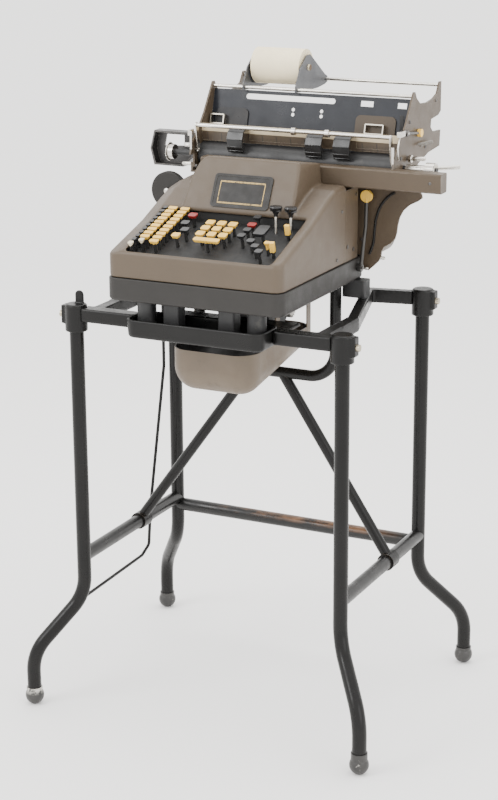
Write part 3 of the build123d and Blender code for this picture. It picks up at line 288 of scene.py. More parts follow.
# Places on the object, in metres, where one finish gives way to another.
KEY_SLOPE = math.tan(math.radians(17.0))
KEY_PLANE = 0.818 + 0.145 * KEY_SLOPE
KEY_DEPTH = 0.0062
TAB_DEPTH = 0.0125
FUNCTION_KEY_SPLIT = -0.153
KNOB_SPLIT = 0.8468
SIDE_LEVER_SPLIT = 0.8350
RELEASE_LEVER_SPLIT = 0.1490
FASTENER_SPLIT = 0.70
STRETCHER_REAR = 0.13
RUBBED_MIDDLE = 0.02
RUBBED_REACH = (0.19, 0.10)
RUBBED_FOOT = (-0.2, 0.0)
RUBBED_FOOT_HEIGHTS = (0.019, 0.027)
GUIDE_POINT = (0.1215, 0.918)
GUIDE_NORMAL = (-0.9675, 0.2529)
GUIDE_THICKNESS = 0.0026
FLOOR_FADE_START = 0.9
PLATE_CENTRE = (0.0138, -0.0636)
PLATE_HALF = (0.0395, 0.0180)
PLATE_SLOPE_FACTOR = 2.2018
PLATE_LINE = (-0.0013, 0.0001)
PAN_MIDDLE = -0.008
SCALE_SPLIT = 0.9335
FINE_TICK_TOP = 0.9275
COARSE_TICK_TOP = 0.9310
ROLL_AXIS = (0.184, 1.035)
ROLL_CORE = 0.0072

# How fast the floor fades, and how close the ticks and the paper's layers lie.
FLOOR_FADE_RATE = 0.36
FINE_TICKS_PER_METRE = 394.0
COARSE_TICKS_PER_METRE = 39.4
ROLL_LAYERS = 9000.0

paint = finish_material(
    "taupe_crinkle", TAUPE, rough=0.46, vary=0.08, grain=1500.0, height=0.00016,
    rough_vary=0.06, specular=0.45, worn=(0.20, 0.175, 0.145), wear=0.35,
)
rail_paint = finish_material(
    "taupe_rail", shade(TAUPE, 0.92), rough=0.42, vary=0.10, grain=1500.0, height=0.00010,
    rough_vary=0.08, specular=0.4, worn=(0.24, 0.20, 0.155), wear=0.6,
)
base_paint = finish_material(
    "base_crinkle", (0.0175, 0.016, 0.0145), rough=0.48, vary=0.15, grain=1300.0, height=0.00014,
    specular=0.3, worn=(0.10, 0.095, 0.085), wear=0.4,
)
enamel = finish_material(
    "stand_enamel", ENAMEL, rough=0.26, vary=0.35, grain=420.0, height=0.00010,
    specular=0.2, worn=(0.09, 0.066, 0.046), wear=0.6, patches=(RUST, 18.0, 0.70, 0.4),
)
cast_enamel = finish_material(
    "cast_enamel", ENAMEL, rough=0.34, vary=0.3, grain=520.0, height=0.00022,
    specular=0.22, worn=(0.12, 0.105, 0.085), wear=0.65,
)
nickel = finish_material(
    "nickel_plate", NICKEL, rough=0.22, vary=0.14, grain=900.0, height=0.000015,
    metal=1.0, patches=((0.20, 0.15, 0.09), 45.0, 0.64, 0.55),
)
steel = finish_material(
    "machined_steel", (0.30, 0.285, 0.26), rough=0.36, vary=0.2, grain=900.0, height=0.00002,
    metal=1.0, patches=((0.13, 0.085, 0.05), 60.0, 0.6, 0.6), stretch=(0.12, 1.0, 1.0),
)
dark_steel = finish_material(
    "dark_steel", (0.075, 0.073, 0.072), rough=0.42, vary=0.25, grain=900.0, height=0.00004,
    metal=0.85, worn=(0.34, 0.32, 0.29), wear=0.7,
)
well_black = finish_material(
    "well_black", (0.006, 0.006, 0.006), rough=0.6, vary=0.3, grain=900.0, height=0.0001,
)
table_black = finish_material(
    "table_enamel", (0.010, 0.0115, 0.016), rough=0.34, vary=0.3, grain=600.0, height=0.00006,
    specular=0.3, worn=(0.17, 0.16, 0.14), wear=0.7, patches=((0.11, 0.09, 0.07), 30.0, 0.66, 0.4),
)
rubber = finish_material(
    "platen_rubber", (0.012, 0.012, 0.0125), rough=0.5, vary=0.25, grain=700.0, height=0.00006,
    patches=((0.05, 0.046, 0.04), 40.0, 0.6, 0.5),
)
finger_black = finish_material(
    "finger_black", (0.009, 0.009, 0.0095), rough=0.3, vary=0.25, grain=500.0, height=0.00004,
    worn=(0.06, 0.055, 0.05), wear=0.5,
)
motor_iron = finish_material(
    "motor_iron", (0.02, 0.02, 0.02), rough=0.6, vary=0.3, grain=500.0, height=0.0002,
    worn=(0.09, 0.08, 0.07), wear=0.4,
)
holder_slate = finish_material(
    "holder_slate", (0.05, 0.052, 0.058), rough=0.36, vary=0.2, grain=600.0, height=0.00005,
    metal=0.3, worn=(0.30, 0.28, 0.25), wear=0.6,
)
cap_black = finish_material(
    "knob_cap_black", (0.012, 0.0115, 0.012), rough=0.28, vary=0.3, grain=60.0, height=0.0,
)


def key_material(name, colour, second=None, split_y=0.0, depth=KEY_DEPTH):
    """Moulded cap on a dark steel stem. Caps in front of split_y take the second colour."""
    n = Nodes(name)
    base = n.mix(n.drift(60.0, 4.0), shade(colour, 0.88), shade(colour, 1.08))
    place = n.coords.outputs["Object"]
    place_y = n.axis(place, "Y")
    if second:
        base = n.mix(n.math("LESS_THAN", place_y, split_y), base, second)
    edge = n.edge(0.0007)
    grime = n.ramp(n.noise(300.0, 5.0, 0.7, None, 6.0), 0.5, 0.66)
    base = n.mix(n.math("MULTIPLY", n.math("MULTIPLY", edge, grime), 0.8), base, shade(colour, 0.45))
    height = n.math("SUBTRACT", n.axis(place, "Z"), n.math("MULTIPLY", place_y, KEY_SLOPE))
    stem = n.math("LESS_THAN", height, KEY_PLANE - depth)
    n.colour(n.mix(stem, base, (0.02, 0.0195, 0.019)))
    n.gloss(90.0, 4.0, 7.0, 0.24, 0.42)
    n.shader.inputs["Coat Weight"].default_value = 0.2
    n.bump(n.noise(500.0, 3.0), 0.00002)
    return n.material


def split_material(name, low, high, axis, level, metal_low):
    """Two finishes on one piece, divided by a plane across one axis."""
    n = Nodes(name)
    drift = n.drift(50.0)
    first = n.mix(drift, shade(low, 0.8), shade(low, 1.15))
    other = n.mix(drift, shade(high, 0.88), shade(high, 1.08))
    side = n.math("GREATER_THAN", n.axis(n.coords.outputs["Object"], axis), level)
    n.colour(n.mix(side, first, other))
    n.gloss(80.0, 4.0, 7.0, 0.25, 0.45)
    n.link(n.ramp(side, 0.0, 1.0, metal_low, 0.0), n.shader.inputs["Metallic"])
    n.bump(n.noise(600.0, 3.0), 0.00002)
    return n.material


def stretcher_material():
    """Black enamel with the brown rubbed patch along the top of the rear stretcher."""
    n = Nodes("stretcher_enamel")
    base = n.mix(n.drift(16.0), shade(ENAMEL, 0.7), shade(ENAMEL, 1.5))
    place = n.coords.outputs["Object"]
    rear = n.math("GREATER_THAN", n.axis(place, "Y"), STRETCHER_REAR)
    off_middle = n.math("ABSOLUTE", n.math("ADD", n.axis(place, "X"), -RUBBED_MIDDLE))
    reach = n.ramp(off_middle, *RUBBED_REACH)
    upper = n.ramp(n.axis(n.coords.outputs["Normal"], "Z"), 0.15, 0.55)
    worn = n.math("MULTIPLY", n.math("MULTIPLY", rear, reach), upper)
    streak = n.ramp(n.noise(34.0, 7.0, 0.7, (0.35, 1.0, 1.0), 2.0), 0.42, 0.58)
    base = n.mix(n.math("MULTIPLY", worn, streak), base, (0.145, 0.073, 0.036))
    chips = n.ramp(n.noise(95.0, 7.0, 0.75, None, 20.0), 0.70, 0.715)
    n.colour(n.mix(n.math("MULTIPLY", chips, 0.4), base, (0.115, 0.085, 0.06)))
    n.gloss(38.0, 5.0, 9.0, 0.2, 0.46)
    n.shader.inputs["Specular IOR Level"].default_value = 0.38
    n.bump(n.noise(420.0, 3.0), 0.0001)
    return n.material


def foot_material():
    """Dark foot balls, one of them rubbed to bare metal on its upper side."""
    n = Nodes("foot_metal")
    base = n.mix(n.drift(40.0), (0.010, 0.0098, 0.0095), (0.03, 0.028, 0.026))
    place = n.coords.outputs["Object"]
    left = n.math("LESS_THAN", n.axis(place, "X"), RUBBED_FOOT[0])
    front = n.math("LESS_THAN", n.axis(place, "Y"), RUBBED_FOOT[1])
    corner = n.math("MULTIPLY", left, front)
    upper = n.ramp(n.axis(place, "Z"), *RUBBED_FOOT_HEIGHTS)
    broken = n.ramp(n.noise(120.0, 6.0, 0.7, None, 3.0), 0.42, 0.50)
    bare = n.math("MULTIPLY", n.math("MULTIPLY", corner, upper), broken)
    scuff = n.math("MULTIPLY", n.ramp(n.noise(90.0, 6.0, 0.7, None, 8.0), 0.62, 0.66), 0.6)
    n.colour(n.mix(n.math("MAXIMUM", bare, scuff), base, (0.46, 0.44, 0.40)))
    n.gloss(60.0, 5.0, 9.0, 0.28, 0.5)
    n.bump(n.noise(380.0, 3.0), 0.0002)
    return n.material


def guide_material():
    """Black left guide, taupe right guide and the nickel blocks that stand on them."""
    n = Nodes("paper_guide_finish")
    drift = n.drift(40.0)
    place = n.coords.outputs["Object"]
    right = n.math("GREATER_THAN", n.axis(place, "X"), 0.0)
    sheet = n.mix(right, (0.012, 0.0125, 0.015), shade(TAUPE, 0.85))
    sheet = n.mix(n.math("MULTIPLY", drift, 0.4), sheet, (0.05, 0.045, 0.04))
    lift_y = n.math("MULTIPLY", n.axis(place, "Y"), GUIDE_NORMAL[0])
    lift_z = n.math("MULTIPLY", n.axis(place, "Z"), GUIDE_NORMAL[1])
    lift = n.math("ADD", lift_y, lift_z)
    face = GUIDE_POINT[0] * GUIDE_NORMAL[0] + GUIDE_POINT[1] * GUIDE_NORMAL[1]
    block = n.math("GREATER_THAN", lift, face + GUIDE_THICKNESS)
    n.colour(n.mix(block, sheet, (0.52, 0.48, 0.41)))
    n.link(block, n.shader.inputs["Metallic"])
    n.shader.inputs["Specular IOR Level"].default_value = 0.25
    n.gloss(60.0, 5.0, 9.0, 0.26, 0.44)
    n.bump(n.noise(600.0, 3.0), 0.00003)
    return n.material


def nameplate_material():
    """Dark plate with a thin gold line round its field."""
    n = Nodes("nameplate_lined")
    base = n.mix(n.drift(40.0), (0.010, 0.0095, 0.009), (0.018, 0.0165, 0.015))
    place = n.coords.outputs["Object"]
    across = n.math("ABSOLUTE", n.math("SUBTRACT", n.axis(place, "X"), PLATE_CENTRE[0]))
    along = n.math("ADD", n.axis(place, "Y"), -PLATE_CENTRE[1])
    along = n.math("ABSOLUTE", n.math("MULTIPLY", along, PLATE_SLOPE_FACTOR))
    reach_across = n.math("SUBTRACT", across, PLATE_HALF[0])
    reach_along = n.math("SUBTRACT", along, PLATE_HALF[1])
    reach = n.math("MAXIMUM", reach_across, reach_along)
    inside = n.math("GREATER_THAN", reach, PLATE_LINE[0])
    line = n.math("MULTIPLY", inside, n.math("LESS_THAN", reach, PLATE_LINE[1]))
    worn = n.ramp(n.noise(220.0, 5.0, 0.7, None, 4.0), 0.36, 0.5)
    base = n.mix(n.math("MULTIPLY", line, worn), base, (0.50, 0.35, 0.13))
    rim = n.edge(0.0009)
    n.colour(n.mix(n.math("MULTIPLY", rim, 0.35), base, (0.16, 0.15, 0.13)))
    n.gloss(70.0, 4.0, 7.0, 0.34, 0.5)
    n.shader.inputs["Specular IOR Level"].default_value = 0.25
    n.bump(n.noise(900.0, 3.0), 0.00003)
    return n.material


def pan_material():
    """Tan paint outside, black inside the pan."""
    colour = (0.115, 0.085, 0.056)
    n = Nodes("motor_pan_paint")
    drift = n.ramp(n.noise(14.0, 6.0), 0.3, 0.7)
    base = n.mix(drift, shade(colour, 0.82), shade(colour, 1.12))
    stain = n.ramp(n.noise(34.0, 6.0, 0.7, None, 4.0), 0.58, 0.68)
    base = n.mix(n.math("MULTIPLY", stain, 0.5), base, (0.06, 0.042, 0.028))
    normal_x = n.axis(n.coords.outputs["Normal"], "X")
    normal_z = n.axis(n.coords.outputs["Normal"], "Z")
    place_x = n.axis(n.coords.outputs["Object"], "X")
    right = n.math("GREATER_THAN", place_x, PAN_MIDDLE)
    side = n.math("SUBTRACT", n.math("MULTIPLY", right, 2.0), 1.0)
    inner = n.math("LESS_THAN", n.math("MULTIPLY", side, normal_x), -0.5)
    inner = n.math("MAXIMUM", inner, n.math("GREATER_THAN", normal_z, 0.35))
    edge = n.edge(0.001)
    base = n.mix(inner, base, (0.012, 0.011, 0.010))
    n.colour(n.mix(n.math("MULTIPLY", edge, 0.5), base, (0.24, 0.20, 0.15)))
    n.gloss(40.0, 5.0, 7.0, 0.38, 0.58)
    n.bump(n.noise(1300.0, 3.0), 0.00012)
    return n.material


def scale_material():
    """Cream strip above, taupe below, with rows of short and long plain ticks on the lower part."""
    n = Nodes("scale_enamel")
    drift = n.drift(30.0)
    place_x = n.axis(n.coords.outputs["Object"], "X")
    place_z = n.axis(n.coords.outputs["Object"], "Z")
    cream = n.mix(drift, (0.50, 0.41, 0.27), (0.64, 0.53, 0.36))
    low = n.mix(drift, shade(TAUPE, 0.9), shade(TAUPE, 1.25))
    base = n.mix(n.math("GREATER_THAN", place_z, SCALE_SPLIT), low, cream)
    fine = n.math("FRACT", n.math("MULTIPLY", place_x, FINE_TICKS_PER_METRE))
    fine = n.math("LESS_THAN", fine, 0.16)
    coarse = n.math("FRACT", n.math("MULTIPLY", place_x, COARSE_TICKS_PER_METRE))
    coarse = n.math("LESS_THAN", coarse, 0.05)
    fine = n.math("MULTIPLY", fine, n.math("LESS_THAN", place_z, FINE_TICK_TOP))
    coarse = n.math("MULTIPLY", coarse, n.math("LESS_THAN", place_z, COARSE_TICK_TOP))
    base = n.mix(n.math("MAXIMUM", fine, coarse), base, (0.02, 0.018, 0.016))
    n.colour(n.mix(n.edge(0.0008), base, (0.55, 0.48, 0.36)))
    n.gloss(60.0, 5.0, 7.0, 0.32, 0.5)
    n.bump(n.noise(700.0, 3.0), 0.00003)
    return n.material


def paper_material():
    """Cream paper: faint fibres, wound layers on the ends and the brown core."""
    colour = (0.86, 0.75, 0.52)
    n = Nodes("paper_cream")
    base = n.mix(n.drift(25.0), shade(colour, 0.93), shade(colour, 1.05))
    place = n.coords.outputs["Object"]
    dy = n.math("SUBTRACT", n.axis(place, "Y"), ROLL_AXIS[0])
    dz = n.math("SUBTRACT", n.axis(place, "Z"), ROLL_AXIS[1])
    radius = n.math("SQRT", n.math("ADD", n.math("MULTIPLY", dy, dy), n.math("MULTIPLY", dz, dz)))
    rings = n.math("SINE", n.math("MULTIPLY", radius, ROLL_LAYERS))
    end = n.math("GREATER_THAN", n.math("ABSOLUTE", n.axis(n.coords.outputs["Normal"], "X")), 0.7)
    layers = n.math("MULTIPLY", n.ramp(rings, -1.0, 1.0), end)
    base = n.mix(n.math("MULTIPLY", layers, 0.45), base, (0.50, 0.41, 0.27))
    core = n.math("MULTIPLY", n.math("LESS_THAN", radius, ROLL_CORE), end)
    n.colour(n.mix(core, base, (0.10, 0.06, 0.03)))
    n.shader.inputs["Roughness"].default_value = 0.75
    n.bump(n.noise(1100.0, 4.0, 0.6, (0.3, 1.0, 1.0)), 0.00005)
    return n.material


def floor_material():
    """Pale floor that turns into the colour of the surroundings a few metres away."""
    n = Nodes("studio_floor")
    place = n.coords.outputs["Object"]
    x = n.axis(place, "X")
    y = n.axis(place, "Y")
    radius = n.math("SQRT", n.math("ADD", n.math("MULTIPLY", x, x), n.math("MULTIPLY", y, y)))
    far = n.math("MULTIPLY", n.math("SUBTRACT", radius, FLOOR_FADE_START), FLOOR_FADE_RATE)
    far = n.math("MINIMUM", n.math("MAXIMUM", far, 0.0), 1.0)
    n.colour(n.mix(far, (0.93, 0.925, 0.915), (0.0, 0.0, 0.0)))
    n.shader.inputs["Roughness"].default_value = 0.75
    n.shader.inputs["Specular IOR Level"].default_value = 0.0
    n.shader.inputs["Emission Color"].default_value = SURROUND_COLOUR
    n.link(n.math("MULTIPLY", far, SURROUND), n.shader.inputs["Emission Strength"])
    return n.material


yellow_key = key_material("yellow_key", YELLOW)
black_key = key_material("black_key", BLACK)
white_key = key_material("white_key", IVORY)
red_key = key_material("red_key", RED)
left_function_key = key_material("left_function_key", BLACK, YELLOW, FUNCTION_KEY_SPLIT)
tab_key = key_material("tab_key", YELLOW, depth=TAB_DEPTH)
knob_two_tone = split_material("knob_two_tone", NICKEL, BLACK, "Z", KNOB_SPLIT, metal_low=1.0)
lever_two_tone = split_material(
    "lever_two_tone", (0.06, 0.058, 0.055), YELLOW, "Z", SIDE_LEVER_SPLIT, metal_low=0.8,
)
release_two_tone = split_material(
    "release_two_tone", (0.10, 0.095, 0.09), YELLOW, "Y", RELEASE_LEVER_SPLIT, metal_low=0.9,
)
fastener_two_tone = split_material(
    "fastener_two_tone", (0.45, 0.40, 0.30), (0.05, 0.045, 0.04), "Z", FASTENER_SPLIT, metal_low=1.0,
)
stretcher_enamel = stretcher_material()
foot_metal = foot_material()
guide_finish = guide_material()
nameplate_lined = nameplate_material()
pan_paint = pan_material()
scale_enamel = scale_material()
paper = paper_material()

node_materials = {
    "legs_front": enamel, "legs_back": enamel, "stretchers": stretcher_enamel, "braces": enamel,
    "side_rod": enamel, "foot_tips": foot_metal, "fasteners": fastener_two_tone,
    "top_frame": cast_enamel, "leg_clamps": cast_enamel, "front_tray": cast_enamel,
    "machine_feet": rubber, "base_pan": base_paint, "housing": paint, "side_panels": paint,
    "back_cover": paint, "carriage_support": rail_paint, "keyboard_plate": well_black,
    "nameplate": nameplate_lined, "motor_cover": pan_paint, "motor": motor_iron,
    "inner_frames": steel, "main_shaft": steel, "motor_pinion": steel, "adding_wheels": steel,
    "spring_drum": base_paint, "side_lever": lever_two_tone, "carriage_rail": rail_paint,
    "end_plates": rail_paint, "end_bracket": dark_steel, "carriage_rods": nickel,
    "paper_table": table_black, "scale_strips": scale_enamel, "paper_guides": guide_finish,
    "paper_fingers": finger_black, "roll_holder": holder_slate, "paper_roll": paper,
    "platen": rubber, "platen_knob": nickel, "bail": nickel, "release_lever": release_two_tone,
    "control_knobs": knob_two_tone, "red_key_left": red_key, "red_key_right": red_key,
    "motor_bar": black_key, "function_keys_left": left_function_key,
    "function_keys_right": black_key, "bank_keys_yellow": yellow_key, "bank_keys_black": black_key,
    "bank_keys_white": white_key, "tab_levers": tab_key,
}
for digit in range(10):
    node_materials[f"key_{digit}"] = yellow_key


def give(obj, material):
    """The object's only material."""
    if not obj.data.materials:
        obj.data.materials.append(material)
    for index in range(len(obj.material_slots)):
        obj.material_slots[index].material = material


for name, material in node_materials.items():
    give(nodes[name], material)


# ------------------------------------------------------------------ shape helpers
MM = 0.001
RIGHT = (1, 0, 0)
LEFT = (-1, 0, 0)
FRONT = (0, -1, 0)
UP = (0, 0, 1)


def mm(*values):
    return Vector(values) * MM


def round_edges(name, width):
    """Small rounded edges on a CAD node, as a modifier that leaves its mesh alone."""
    obj = nodes[name]
    planar = obj.modifiers.new("planar", "DECIMATE")
    planar.decimate_type = "DISSOLVE"
    planar.angle_limit = math.radians(1.0)
    bevel = obj.modifiers.new("round", "BEVEL")
    bevel.width = width
    bevel.segments = 3
    bevel.limit_method = "ANGLE"
    bevel.angle_limit = math.radians(35.0)
    bevel.use_clamp_overlap = True
    bevel.harden_normals = True


def cast_copy(name, piece, voxel, passes, body, material):
    """A copy of a CAD node as one softly rounded skin, shown in the node's place."""
    mesh = nodes[name].data.copy()
    obj = link_mesh(piece, mesh)
    remesh = obj.modifiers.new("skin", "REMESH")
    remesh.mode = "VOXEL"
    remesh.voxel_size = voxel
    soft = obj.modifiers.new("soft", "SMOOTH")
    soft.factor = 0.5
    soft.iterations = passes
    bpy.context.view_layer.update()
    graph = bpy.context.evaluated_depsgraph_get()
    final = bpy.data.meshes.new_from_object(obj.evaluated_get(graph))
    obj.modifiers.clear()
    obj.data = final
    for polygon in final.polygons:
        polygon.use_smooth = True
    final.materials.clear()
    final.materials.append(material)
    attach(obj, body)
    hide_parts(name)


def piece_from(bm, name, body, material, angle=40.0):
    """Turns a bmesh into a piece that rides on body, smooth up to angle."""
    bmesh.ops.recalc_face_normals(bm, faces=bm.faces)
    mesh = bpy.data.meshes.new(name)
    bm.to_mesh(mesh)
    bm.free()
    for polygon in mesh.polygons:
        polygon.use_smooth = True
    mesh.set_sharp_from_angle(angle=math.radians(angle))
    mesh.materials.append(material)
    obj = link_mesh(name, mesh)
    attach(obj, body)


def frame_along(direction):
    """Turn that brings Z onto direction."""
    direction = Vector(direction).normalized()
    return direction.to_track_quat("Z", "Y").to_matrix().to_4x4()


def lathe(bm, profile, origin, direction, steps=32):
    """Solid of revolution: profile is (radius, distance along direction) from end to end."""
    matrix = Matrix.Translation(origin) @ frame_along(direction)
    rings = []
    for radius, height in profile:
        if radius < 1e-7:
            rings.append([bm.verts.new(matrix @ Vector((0.0, 0.0, height)))])
        else:
            rings.append(ring_of(bm, radius, steps, matrix, height))
    for low, high in zip(rings, rings[1:]):
        if len(low) == len(high):
            join_rings(bm, (low, high))
            continue
        for step in range(steps):
            following = (step + 1) % steps
            if len(low) == 1:
                bm.faces.new((low[0], high[following], high[step]))
            else:
                bm.faces.new((low[step], low[following], high[0]))


def slab(bm, centre, size, turn=None, rounding=0.0006):
    """Block with rounded edges, turned by a matrix."""
    matrix = Matrix.Translation(centre) @ (turn or Matrix.Identity(4))
    made = bmesh.ops.create_cube(bm, size=1.0)
    for vert in made["verts"]:
        vert.co = matrix @ Vector((vert.co.x * size[0], vert.co.y * size[1], vert.co.z * size[2]))
    edges = {edge for vert in made["verts"] for edge in vert.link_edges}
    bmesh.ops.bevel(bm, geom=list(edges), offset=rounding, segments=3, profile=0.5, affect="EDGES")


def tube(bm, points, radius, steps=12):
    """Round bar through points, domed where each stretch ends."""
    for start, end in zip(points, points[1:]):
        start = Vector(start)
        end = Vector(end)
        length = (end - start).length
        profile = [
            (0, -radius * 0.9), (radius * 0.7, -radius * 0.6), (radius, 0), (radius, length),
            (radius * 0.7, length + radius * 0.6), (0, length + radius * 0.9),
        ]
        lathe(bm, profile, start, end - start, steps)


def screw(bm, place, direction, radius):
    """Screw head with a domed top and a raised pair of bars along its slot."""
    matrix = Matrix.Translation(place) @ frame_along(direction)
    profile = [
        (0, -radius * 0.1), (radius, -radius * 0.1), (radius, radius * 0.22),
        (radius * 0.8, radius * 0.42), (radius * 0.4, radius * 0.52), (0, radius * 0.54),
    ]
    lathe(bm, profile, place, direction, 20)
    turn = rng.uniform(0.0, math.pi)
    for side in (-1, 1):
        bar = Matrix.Rotation(turn, 4, "Z") @ Matrix.Translation((0.0, side * radius * 0.13, radius * 0.5))
        size = (radius * 1.5, radius * 0.07, radius * 0.08)
        upright = (matrix.to_3x3() @ bar.to_3x3()).to_4x4()
        slab(bm, (matrix @ bar).translation, size, upright, radius * 0.015)


def screws(name, body, rows):
    """Piece made of screw heads, each with its place, direction and radius in millimetres."""
    bm = bmesh.new()
    for place, direction, radius in rows:
        screw(bm, mm(*place), direction, radius * MM)
    piece_from(bm, name, body, dark_steel)


def sweep(bm, points, radius, steps=10):
    """Round bar along a smooth line through points."""
    line = [Vector(point) for point in points]
    rings = []
    for index, place in enumerate(line):
        ahead = line[min(index + 1, len(line) - 1)]
        behind = line[max(index - 1, 0)]
        rings.append(ring_of(bm, radius, steps, Matrix.Translation(place) @ frame_along(ahead - behind)))
    join_rings(bm, rings)
    bm.faces.new(rings[0])
    bm.faces.new(rings[-1])


def curve_through(points, count=8):
    """Points of a Catmull-Rom line through the given points."""
    ends = [Vector(point) for point in (points[0], *points, points[-1])]
    out = []
    for a, b, c, d in zip(ends, ends[1:], ends[2:], ends[3:]):
        for step in range(count):
            t = step / count
            square = (2 * a - 5 * b + 4 * c - d) * t * t
            cube = (3 * b - a - 3 * c + d) * t ** 3
            out.append(0.5 * (2 * b + (c - a) * t + square + cube))
    out.append(ends[-1])
    return out


def coil(bm, start, end, radius, turns, wire):
    """Helical spring from start to end."""
    start = Vector(start)
    end = Vector(end)
    matrix = frame_along(end - start)
    length = (end - start).length
    points = []
    for step in range(turns * 12 + 1):
        angle = 2.0 * math.pi * step / 12
        along = length * step / (turns * 12)
        local = Vector((radius * math.cos(angle), radius * math.sin(angle), along))
        points.append(start + matrix @ local)
    sweep(bm, points, wire, 6)


def knurled(bm, x0, x1, centre, radius):
    """Disc along X with a ribbed rim."""
    y, z = centre
    rings = []
    chamfer = 0.0008
    groove = 0.0005
    steps = 36 * 4
    for x, inset in ((x0, chamfer), (x0 + chamfer, 0.0), (x1 - chamfer, 0.0), (x1, chamfer)):
        ring = []
        for step in range(steps):
            angle = 2.0 * math.pi * step / steps
            reach = radius - inset - (groove if step % 4 in (2, 3) else 0.0)
            ring.append(bm.verts.new((x, y + reach * math.cos(angle), z + reach * math.sin(angle))))
        rings.append(ring)
    join_rings(bm, rings)
    bm.faces.new(rings[0])
    bm.faces.new(rings[-1])


# ------------------------------------------------------------------ castings and pressings
housing_voxel = 0.0017
cast_copy("housing", "housing_shell", housing_voxel, 16, "stand", paint)
cast_copy("top_frame", "top_frame_casting", 0.0020, 3, "stand", cast_enamel)
cast_copy("leg_clamps", "leg_socket_castings", 0.0014, 3, "stand", cast_enamel)
cast_copy("front_tray", "front_tray_casting", 0.0018, 3, "stand", cast_enamel)

KEY_ROUNDING = 0.0008
key_nodes = [f"key_{digit}" for digit in range(10)] + [
    "red_key_left", "red_key_right", "function_keys_left", "function_keys_right", "motor_bar",
    "bank_keys_yellow", "bank_keys_black", "bank_keys_white", "tab_levers",
]
for name in key_nodes:
    round_edges(name, KEY_ROUNDING)
for name, width in (
    ("carriage_rail", 0.0012), ("end_plates", 0.0006), ("end_bracket", 0.0008), ("paper_fingers", 0.0025),
    ("paper_guides", 0.0008), ("roll_holder", 0.0006), ("control_knobs", 0.001), ("bail", 0.0007),
    ("side_lever", 0.001), ("release_lever", 0.001), ("spring_drum", 0.0012), ("platen_knob", 0.001),
    ("platen", 0.001), ("back_cover", 0.0015), ("carriage_support", 0.0015), ("side_panels", 0.0006),
):
    round_edges(name, width)


# ------------------------------------------------------------------ small pieces on the stand
# Black bead along the curved groove on the support's front face: the groove is real, and its shade is
# painted as this dark raised line.
SUPPORT_FRONT = 111.0
SUPPORT_EDGE = (
    (203.0, 851.5), (194.0, 846.0), (184.0, 836.0), (176.5, 823.0), (171.0, 806.0), (168.5, 786.0),
    (166.5, 765.0), (160.0, 747.0),
)
bm = bmesh.new()
sweep(bm, curve_through([mm(x, SUPPORT_FRONT, z) for x, z in SUPPORT_EDGE]), 0.0021)
piece_from(bm, "support_groove_painted_shade", "stand", cast_enamel)

bm = bmesh.new()
tube(bm, [mm(148, 116, 741), mm(184, 116, 741)], 0.0028, 16)
tube(bm, [mm(150, 106, 724), mm(158, 106, 724)], 0.0030, 16)
piece_from(bm, "support_pins", "stand", nickel)

PANEL_FACE = 150.3
screws("casing_screws", "stand", (
    ((PANEL_FACE, 20, 832), RIGHT, 2.6), ((PANEL_FACE, 1, 757), RIGHT, 2.6), ((171.6, 170, 788), RIGHT, 2.8),
    ((-PANEL_FACE, 20, 832), LEFT, 2.6), ((-PANEL_FACE, 1, 757), LEFT, 2.6),
    ((130, 111.9, 842), FRONT, 2.4), ((146, 111.9, 770), FRONT, 2.4),
))

HUB_PROFILE = [(0, 0), (0.0052, 0), (0.0052, 0.0016), (0.0040, 0.0026), (0.0022, 0.0032), (0, 0.0034)]
bm = bmesh.new()
lathe(bm, HUB_PROFILE, mm(-190, 66.0, 832), FRONT, 28)
piece_from(bm, "drum_hub", "stand", nickel)

# ------------------------------------------------------------------ small pieces on the carriage and platen
RIGHT_PLATE = 223.1
LEFT_PLATE = -140.1
RAIL_FRONT = 39.9
screws("carriage_screws", "carriage", (
    ((RIGHT_PLATE, 120, 965), RIGHT, 2.8), ((RIGHT_PLATE, 190, 915), RIGHT, 2.8),
    ((RIGHT_PLATE, 235, 985), RIGHT, 2.6), ((RIGHT_PLATE, 84, 912), RIGHT, 3.0),
    ((LEFT_PLATE, 120, 965), LEFT, 2.8), ((LEFT_PLATE, 190, 915), LEFT, 2.8),
    ((LEFT_PLATE, 235, 985), LEFT, 2.6), ((LEFT_PLATE, 84, 912), LEFT, 3.0),
    ((290, RAIL_FRONT, 884), FRONT, 2.4), ((-120, RAIL_FRONT, 884), FRONT, 2.4),
))

COLLAR_PROFILE = [
    (0, 0), (0.0058, 0), (0.0062, 0.0006), (0.0062, 0.0050), (0.0056, 0.0056), (0, 0.0056),
]
bm = bmesh.new()
tube(bm, [mm(222, 112, 908), mm(252, 112, 909)], 0.0036, 20)
lathe(bm, COLLAR_PROFILE, mm(226, 112, 908), RIGHT, 28)
tube(bm, [mm(-163, 76, 879.5), mm(-143, 76, 880.0)], 0.0031, 20)
tube(bm, [mm(-150, 60, 914), mm(-140, 60, 914)], 0.0034, 20)
piece_from(bm, "carriage_studs", "carriage", nickel)

bm = bmesh.new()
slab(bm, mm(226.5, 76, 952), (0.006, 0.022, 0.009))
slab(bm, mm(220.0, 57.0, 918), (0.0044, 0.0022, 0.030))
slab(bm, mm(-138.2, 57.0, 922), (0.0040, 0.0022, 0.030))
slab(bm, mm(-143.0, 66, 934), (0.005, 0.014, 0.010))
tube(bm, [mm(226.5, 70, 947.5), mm(226.5, 62, 930), mm(226.5, 66, 912)], 0.0013, 10)
piece_from(bm, "carriage_brackets", "carriage", nickel)

bm = bmesh.new()
coil(bm, mm(-146, 150, 940), mm(-146, 205, 935), 0.0026, 16, 0.0005)
coil(bm, mm(229, 150, 925), mm(229, 205, 922), 0.0026, 16, 0.0005)
piece_from(bm, "carriage_springs", "carriage", steel)

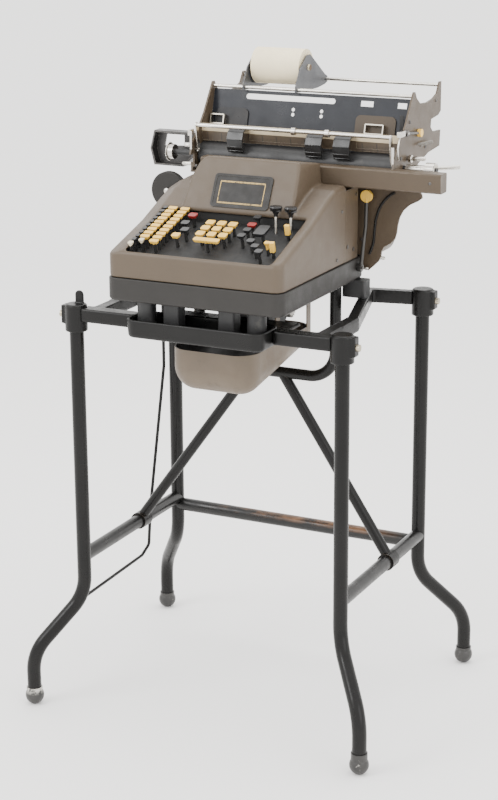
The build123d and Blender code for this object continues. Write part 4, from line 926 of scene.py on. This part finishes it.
PLATEN_AXIS = (0.097, 0.894)
bm = bmesh.new()
knurled(bm, -0.2005, -0.1995, PLATEN_AXIS, 0.0158)
knurled(bm, 0.2770, 0.2782, PLATEN_AXIS, 0.0120)
piece_from(bm, "knurled_rims", "platen", nickel, 25.0)

FINGER_MIDDLES = (-63.5, 77.5, 126.5)
FINGER_HALF = 13.6
bm = bmesh.new()
for x in FINGER_MIDDLES:
    for y, z in ((66.3, 926.5), (67.6, 914.5), (70.6, 907.5)):
        tube(bm, [mm(x - FINGER_HALF, y, z), mm(x + FINGER_HALF, y, z)], 0.0008, 8)
piece_from(bm, "finger_ribs", "carriage", finger_black)

# ------------------------------------------------------------------ knob caps and a painted shade strip on the table
CAP_HEIGHT = 13.5
CAP_PROFILE = [
    (0, 0), (0.0030, 0), (0.0034, 0.0035), (0.0062, 0.0085), (0.0098, 0.0120), (0.0104, 0.0145),
    (0.0092, 0.0165), (0.0040, 0.0174), (0, 0.0175),
]
bm = bmesh.new()
for x, y, z in ((85.5, -88.0, 852.0), (112.0, -90.0, 853.0)):
    lathe(bm, CAP_PROFILE, mm(x, y, z - CAP_HEIGHT), UP, 28)
piece_from(bm, "knob_caps", "control_knobs", cap_black)

# Thin black strip on the right end of the paper table: painted shade where the table lies in shadow, not a
# real part.
bm = bmesh.new()
slab(bm, mm(207.5, 124.8, 948), (0.007, 0.0008, 0.052), rounding=0.0003)
piece_from(bm, "table_painted_shade_strip", "carriage", well_black)


# ------------------------------------------------------------------ camera and light setup
place_camera()
floor = backdrop()
floor.data.materials.append(floor_material())

area_light("key_light", (-2.6, -3.2, 3.4), (0.0, 0.0, 0.8), (2.0, 2.0), 120.0)
area_light("fill_light", (3.6, -1.4, 2.0), (0.0, 0.0, 0.8), (2.0, 2.6), 38.0)
area_light("top_light", (0.2, 0.6, 3.9), (0.0, 0.2, 0.6), (3.0, 2.4), 70.0)

world = bpy.data.worlds.new("studio")
world.use_nodes = True
background = world.node_tree.nodes["Background"]
background.inputs["Color"].default_value = SURROUND_COLOUR
background.inputs["Strength"].default_value = SURROUND
bpy.context.scene.world = world
